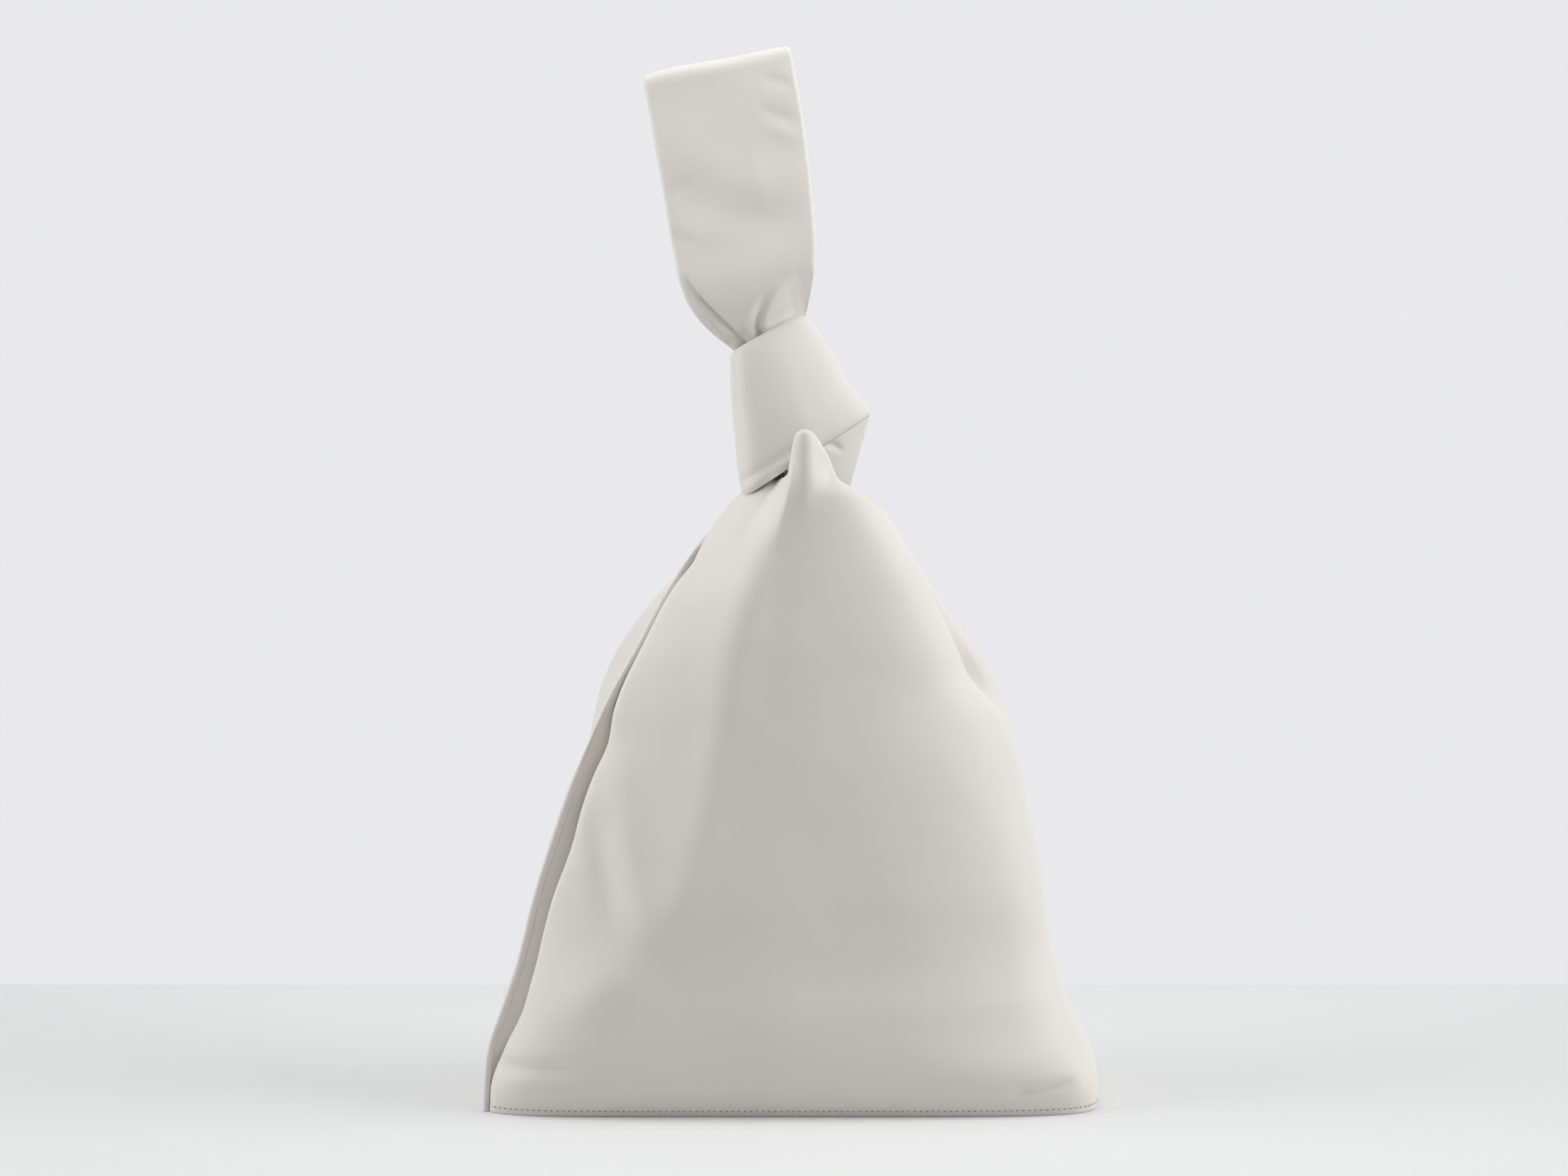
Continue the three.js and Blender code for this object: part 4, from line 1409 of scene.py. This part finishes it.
@dataclass
class Loop:
    """The long handle: a padded sleeve that comes up through the wrap, over as a wrist loop and back down.

    Its own frame has u across the strap, y to the back and w up the strap, from the line it folds over at.
    Every curve is a function of w, unless its comment says otherwise.

    Attributes:
        fold: X and Z of the line that the loop folds over at.
        lean: How far the loop leans to the left, in degrees.
        foot: Where the strap starts, inside the wrap.
        arch_foot: Where its arch starts.
        arch_height: Height of the arch.
        arch_power: How square the arch is.
        half_thickness: Half the thickness of the strap.
        swell: How much the padding thickens its middle.
        thinning: How much of it is lost at its edges.
        lap: How deep a leg is lapped under beside its edge, and the length over which that runs out.
        lap_rise: How far from that edge the lap starts and is whole.
        lap_head: Places up the strap over which it dies away.
        pocket_depth: How deep the pocket between the gathers is.
        pocket_head: Places up the strap over which it dies away.
        wrap_edge: How far below the fold the wrap's upper edge crosses the middle of the strap.
        wrap_rise: How far that edge rises for each millimetre across.
        wrap_opens: How much room each millimetre above that edge adds.
        uneven: Size and depth of its soft unevenness.
        stretch: How slowly that changes from front to back, so that both faces of the strap move together.
        seed: What picks its pattern.
        crown: Where the crown starts and is whole, from the arch's foot.
        dip: How far the crown sinks in its middle.
        dip_at: The middle of that, across, and half its width.
        ear: How far it rises at its right end.
        ear_at: Places across over which it rises.
        blend_reach: How far below and above its fold the strap bends; not used.
        legs_mesh: Rows up each leg.
        arch_mesh: Rows over the arch, with its ends.
        mesh: Points on each flat and on each round edge of its section.
        edge_share: The round edge's share of the half width.
    """

    fold: Pair = (-10.553, 324.706)
    lean: float = 11.0
    foot: float = -36.0
    arch_foot: float = 86.5
    arch_height: float = 8.0
    arch_power: float = 3.6
    half_thickness: float = 2.6
    swell: float = 0.25
    thinning: float = 0.4
    lap: Pair = (6.0, 2.6)
    lap_rise: Pair = (-0.8, 1.6)
    lap_head: Pair = (-1.0, 14.0)
    pocket_depth: float = 4.6
    pocket_head: Pair = (-12.0, 2.0)
    wrap_edge: float = 12.0
    wrap_rise: float = 0.28
    wrap_opens: float = 1.2
    uneven: Pair = (22.0, 0.9)
    stretch: float = 0.2
    seed: float = 5.0
    crown: Pair = (-7.0, 3.0)
    dip: float = 0.9
    dip_at: Pair = (4.0, 14.0)
    ear: float = 0.5
    ear_at: Pair = (22.0, 30.0)
    blend_reach: Pair = (12.0, 14.0)
    legs_mesh: int = 84
    arch_mesh: int = 34
    mesh: tuple[int, int] = (72, 7)
    edge_share: float = 0.05

    # The strap's left and right edge, and how far each leg bellies out from the middle.
    left: Curve = smooth([
        (-40, -9), (-24, -12.5), (-18.6, -16.4), (-14, -20.5), (-3.2, -27.7), (8.6, -30.7), (22, -30.9),
        (48.5, -30.4), (97, -29.6),
    ])
    right: Curve = smooth([
        (-40, 10), (-24, 12.3), (-17, 14), (-12, 16.3), (3.4, 22.5), (9.6, 24.4), (31, 27.5), (65, 30.2),
        (97, 30.5),
    ])
    belly: Curve = smooth([
        (-40, 3.6), (-22, 5), (-14, 8), (-5, 11.4), (5, 12.2), (20, 10.9), (44, 8.6), (62, 7.4), (80, 6.4),
        (95, 5.6),
    ])
    # The edge that laps over the left gather, and the middle and the half width of the pocket beside it.
    lap_edge: Curve = straight([
        (-36, -6), (-18, -9.2), (-12, -12.8), (-7.5, -16.2), (-3.8, -18.8), (0, -21.4), (6, -24.7),
        (12, -27),
    ])
    pocket: Curve = straight([(-36, -3), (-16.6, -3.5), (-12.6, -3.9), (-7, -0.5), (0, 4), (8, 7)])
    pocket_width: Curve = straight([(-20, 1.6), (-10, 2.2), (6, 4.0)])
    # The room that the wrap leaves each way from its middle, by u.
    room: Curve = straight([(-16, 6.6), (-8, 9.0), (0, 8.2), (8, 4.6), (12, 2.4), (16, 1.2)])

    # The groove down the gather, as a depth.
    gather: Fold = Fold(((-25, -2), (-20.5, -11), (-14.6, -21)), 1.2, 1.3, 0.3)
    dent_folds: tuple[Fold, ...] = (
        # The slanting hollow over the front leg, and the swell above it.
        Fold(((-30, 46), (-8, 34), (24, 20)), -1.0, 9.0, 0.25),
        Fold(((-30, 62), (-8, 52), (20, 36)), 0.6, 9.0, 0.25),
        # Puckers at the right edge and at the left one.
        Fold(((15, 84), (30, 77)), -0.6, 2.2, 0.4),
        Fold(((11, 72), (30, 62)), -0.7, 2.6, 0.4),
        Fold(((14, 64), (30, 55)), 0.4, 2.6, 0.4),
        Fold(((-31, 43), (-15, 50)), -0.35, 2.8, 0.4),
        Fold(((-32, 30), (-20, 21)), -0.4, 2.8, 0.4),
        # The faint spine right of the middle.
        Fold(((8, 68), (7.6, 53), (6.5, 26)), 0.5, 4.0, 0.35),
    )

    def pleats(self, u: np.ndarray, w: np.ndarray) -> np.ndarray:
        """How far the gathers sink a leg, where the strap is drawn into the wrap.

        Args:
            u: Places across.
            w: Places up.

        Returns:
            The depth at each place.
        """
        deep, run_out = self.lap
        left = self.lap_edge(w) - u
        lap = deep * step(left, *self.lap_rise) * np.exp(-np.maximum(left, 0) / run_out)
        lap = lap * fall(w, *self.lap_head)
        pocket = self.pocket_depth * hump(u, self.pocket(w), self.pocket_width(w))
        return lap + (pocket * fall(w, *self.pocket_head) + self.gather.relief(u, w))

    def dents(self, u: np.ndarray, w: np.ndarray) -> np.ndarray:
        """How far the shallow folds sink the front leg, at places across and up."""
        return -sum(fold.relief(u, w) for fold in self.dent_folds)

    def centre_line(self) -> tuple[np.ndarray, np.ndarray, np.ndarray]:
        """The middle of the strap, up its front leg, over the arch and down its rear leg.

        Returns:
            The places y and w, and the way out of the loop at each place.
        """
        legs = np.linspace(self.foot, self.arch_foot, self.legs_mesh)
        turn = np.linspace(0, math.pi, self.arch_mesh)[1:-1]
        power = 2 / self.arch_power
        arch_y = float(self.belly(self.arch_foot)) * np.sign(np.cos(turn)) * np.abs(np.cos(turn)) ** power
        arch_w = self.arch_foot + (self.arch_height - self.half_thickness) * np.sin(turn) ** power
        y = np.concatenate([-self.belly(legs), -arch_y, self.belly(legs)[::-1]])
        w = np.concatenate([legs, arch_w, legs[::-1]])
        run = np.gradient(np.stack([y, w], axis=1), axis=0)
        run /= np.linalg.norm(run, axis=1, keepdims=True)
        return y, w, np.stack([-run[:, 1], run[:, 0]], axis=1)

    def held(self, u: np.ndarray, y: np.ndarray, w: np.ndarray) -> np.ndarray:
        """Keeps the gathered legs inside the wrap, with a soft limit.

        Args:
            u: Places across.
            y: Places from front to back.
            w: Places up.

        Returns:
            The new places from front to back.
        """
        above = np.maximum(w + self.wrap_edge - self.wrap_rise * u, 0)
        room = self.room(u) + self.wrap_opens * above
        return np.sign(y) * -np.log(np.exp(-np.abs(y)) + np.exp(-room))

    def build(self, finishes: Finishes) -> None:
        """Makes the loop.

        Args:
            finishes: The materials.
        """
        y, w, out = self.centre_line()
        across, through = flat_oval(*self.mesh, self.edge_share)
        middle, half = 0.5 * (self.left(w) + self.right(w)), 0.5 * (self.right(w) - self.left(w))
        u = middle[:, None] + half[:, None] * across[None, :]
        swell = 1 + self.swell * (1 - across[None, :] ** 2) - self.thinning * across[None, :] ** 6
        lift = self.half_thickness * through[None, :] * swell
        at_y = y[:, None] + out[:, :1] * lift
        at_w = w[:, None] + out[:, 1:] * lift
        in_front = y[:, None] < 0
        sink = np.where(in_front, self.pleats(u, at_w) + self.dents(u, at_w), -self.pleats(-u, at_w))
        at_y = self.held(u, at_y + sink, at_w)
        crown = step(at_w - self.arch_foot, *self.crown)
        at_w = at_w + crown * (self.ear * step(u, *self.ear_at) - self.dip * hump(u, *self.dip_at))
        slope = math.radians(self.lean)
        x = self.fold[0] + u * math.cos(slope) - at_w * math.sin(slope)
        z = self.fold[1] + u * math.sin(slope) + at_w * math.cos(slope)
        points = np.stack([x, at_y, z], axis=2)
        drawn_out = points * np.array([1, self.stretch, 1])
        points[..., 1] += self.uneven[1] * softness(drawn_out, self.uneven[0], self.seed)
        loop = laid_tube("long_handle_loop", points)
        nodes = ("long_handle_sleeve", "long_handle_padding", "long_handle_gather")
        dress(loop, finishes.nappa, "nappa", None, *nodes)
        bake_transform(loop)


def seen_rays(tree: bpy.types.NodeTree) -> bpy.types.NodeSocket:
    """Tells what is shown from what lights the bag.

    Args:
        tree: The node tree.

    Returns:
        A socket that is 1 for what the camera, gloss and glass show, and 0 for other light.
    """
    ray = add_node(tree, "ShaderNodeLightPath")
    shown = ray.outputs["Is Camera Ray"]
    for kind in ("Is Glossy Ray", "Is Transmission Ray"):
        either = {"0": shown, "1": ray.outputs[kind]}
        shown = add_node(tree, "ShaderNodeMath", either, operation="MAXIMUM").outputs[0]
    return shown


@dataclass(frozen=True)
class Lamp:
    """A broad soft lamp; lengths in metres.

    Attributes:
        name: The lamp's name.
        place: Where it hangs.
        target: What it faces.
        width: Its width.
        height: Its height.
        power: Its power, in watts.
    """

    name: str
    place: tuple[float, float, float]
    target: tuple[float, float, float]
    width: float
    height: float
    power: float

    def hang(self, scene: bpy.types.Scene) -> None:
        """Hangs the lamp, out of the camera's sight.

        Args:
            scene: The scene.
        """
        data = bpy.data.lights.new(self.name, "AREA")
        data.shape = "RECTANGLE"
        data.size, data.size_y = self.width, self.height
        data.energy = self.power
        lamp = bpy.data.objects.new(self.name, data)
        lamp.location = self.place
        lamp.visible_camera = False
        lamp.rotation_euler = (Vector(self.target) - Vector(self.place)).to_track_quat("-Z", "Y").to_euler()
        scene.collection.objects.link(lamp)


@dataclass
class Studio:
    """The camera, the lamps and the pale set; lengths in metres.

    Attributes:
        view_width: What the picture's width spans at the bag's front.
        distance: From the camera to the bag's front.
        aim: The place at the bag's front that the camera faces.
        eye: Height of the camera.
        sensor: Width of the camera's sensor, in millimetres.
        wall: Y of the backdrop.
        floor_half: Half the width and half the depth of the floor.
        backdrop_half: Half the width of the backdrop.
        board: Colour of the floor.
        paper: Colour of the backdrop as it lights the bag.
        seen: Colour that the backdrop and the room show.
        room: Colour of the room's own light.
        room_level: Strength of that light.
        lamps: A broad lamp at each side, a long one overhead, and a small one before the loop.
    """

    view_width: float = 0.613
    distance: float = 1.05
    aim: tuple[float, float, float] = (-0.001, -0.036, 0.2078)
    eye: float = 0.265
    sensor: float = 36.0
    wall: float = 0.215
    floor_half: Pair = (1.0, 0.56)
    backdrop_half: float = 1.5
    board: str = "#e9eaea"
    paper: str = "#d9d9da"
    seen: str = "#e9e9eb"
    room: str = "#f4f5f7"
    room_level: float = 0.115
    lamps: tuple[Lamp, ...] = (
        Lamp("left_lamp", (-2.3, -0.16, 1.0), (0, 0, 0.2), 1.6, 2.0, 35.4),
        Lamp("right_lamp", (2.3, -0.16, 1.0), (0, 0, 0.2), 1.6, 2.0, 44.6),
        Lamp("top_lamp", (0.0, -0.04, 1.2), (0, -0.04, 0), 1.6, 0.5, 5.9),
        Lamp("fill_lamp", (0.0, -0.24, 0.49), (0, 0, 0.35), 0.4, 0.12, 0.3),
    )

    def build(self) -> None:
        """Makes the set."""
        scene = bpy.context.scene
        scene.view_settings.view_transform = "Standard"
        self.place_camera(scene)
        self.lay_floor()
        self.hang_backdrop()
        for lamp in self.lamps:
            lamp.hang(scene)
        self.light_room(scene)

    def place_camera(self, scene: bpy.types.Scene) -> None:
        """Sets the camera at the photograph's height, distance and angle.

        Args:
            scene: The scene.
        """
        data = bpy.data.cameras.new("camera")
        data.sensor_width = self.sensor
        data.lens = self.sensor * self.distance / self.view_width
        camera = bpy.data.objects.new("camera", data)
        eye = Vector((self.aim[0], self.aim[1] - self.distance, self.eye))
        camera.location = eye
        camera.rotation_euler = (Vector(self.aim) - eye).to_track_quat("-Z", "Y").to_euler()
        scene.collection.objects.link(camera)
        scene.camera = camera

    def lay_floor(self) -> None:
        """Lays the floor, a board with a matt pale paint."""
        bm = bmesh.new()
        half = Matrix.Diagonal((*self.floor_half, 1.0, 1.0))
        spot = Matrix.Translation((0, self.wall - self.floor_half[1], 0)) @ half
        bmesh.ops.create_grid(bm, x_segments=2, y_segments=2, size=1.0, matrix=spot)
        floor = finished("floor", bm)
        material = bare_material("painted_board")
        paint = {"Base Color": linear(self.board), "Roughness": 0.85, "Specular IOR Level": 0.1}
        shader = add_node(material.node_tree, "ShaderNodeBsdfPrincipled", paint)
        add_node(material.node_tree, "ShaderNodeOutputMaterial", {"Surface": shader.outputs[0]})
        floor.data.materials.append(material)

    def hang_backdrop(self) -> None:
        """Hangs the backdrop: paper that shows as a paler colour than it is, and is clear from behind."""
        bm = bmesh.new()
        upright = Matrix.Rotation(math.pi / 2, 4, "X")
        spot = Matrix.Translation((0, self.wall, self.backdrop_half)) @ upright
        bmesh.ops.create_grid(bm, x_segments=2, y_segments=2, size=self.backdrop_half, matrix=spot)
        backdrop = finished("backdrop", bm)
        material = bare_material("backdrop_paper")
        tree = material.node_tree
        paper = add_node(tree, "ShaderNodeBsdfDiffuse", {"Color": linear(self.paper)})
        tone = add_node(tree, "ShaderNodeEmission", {"Color": linear(self.seen), "Strength": 1.0})
        sides = {"0": seen_rays(tree), "1": paper.outputs[0], "2": tone.outputs[0]}
        mix = add_node(tree, "ShaderNodeMixShader", sides)
        behind = add_node(tree, "ShaderNodeNewGeometry").outputs["Backfacing"]
        clear = add_node(tree, "ShaderNodeBsdfTransparent")
        sides = {"0": behind, "1": mix.outputs[0], "2": clear.outputs[0]}
        seen_through = add_node(tree, "ShaderNodeMixShader", sides)
        add_node(tree, "ShaderNodeOutputMaterial", {"Surface": seen_through.outputs[0]})
        backdrop.data.materials.append(material)

    def light_room(self, scene: bpy.types.Scene) -> None:
        """Lights the room softly from all round.

        Args:
            scene: The scene.
        """
        world = bpy.data.worlds.new("room")
        world.use_nodes = True
        tree = world.node_tree
        tree.nodes.clear()
        room = add_node(
            tree, "ShaderNodeBackground", {"Color": linear(self.room), "Strength": self.room_level}
        )
        tone = add_node(tree, "ShaderNodeBackground", {"Color": linear(self.seen), "Strength": 1.0})
        sides = {"0": seen_rays(tree), "1": room.outputs[0], "2": tone.outputs[0]}
        mix = add_node(tree, "ShaderNodeMixShader", sides)
        add_node(tree, "ShaderNodeOutputWorld", {"Surface": mix.outputs[0]})
        scene.world = world


def main() -> None:
    """Builds the bag and its set."""
    logging.basicConfig(level=logging.INFO)
    Studio().build()
    finishes = Finishes()
    Pouch().build(finishes)
    Wrap().build(finishes)
    Loop().build(finishes)


if __name__ == "__main__":
    main()
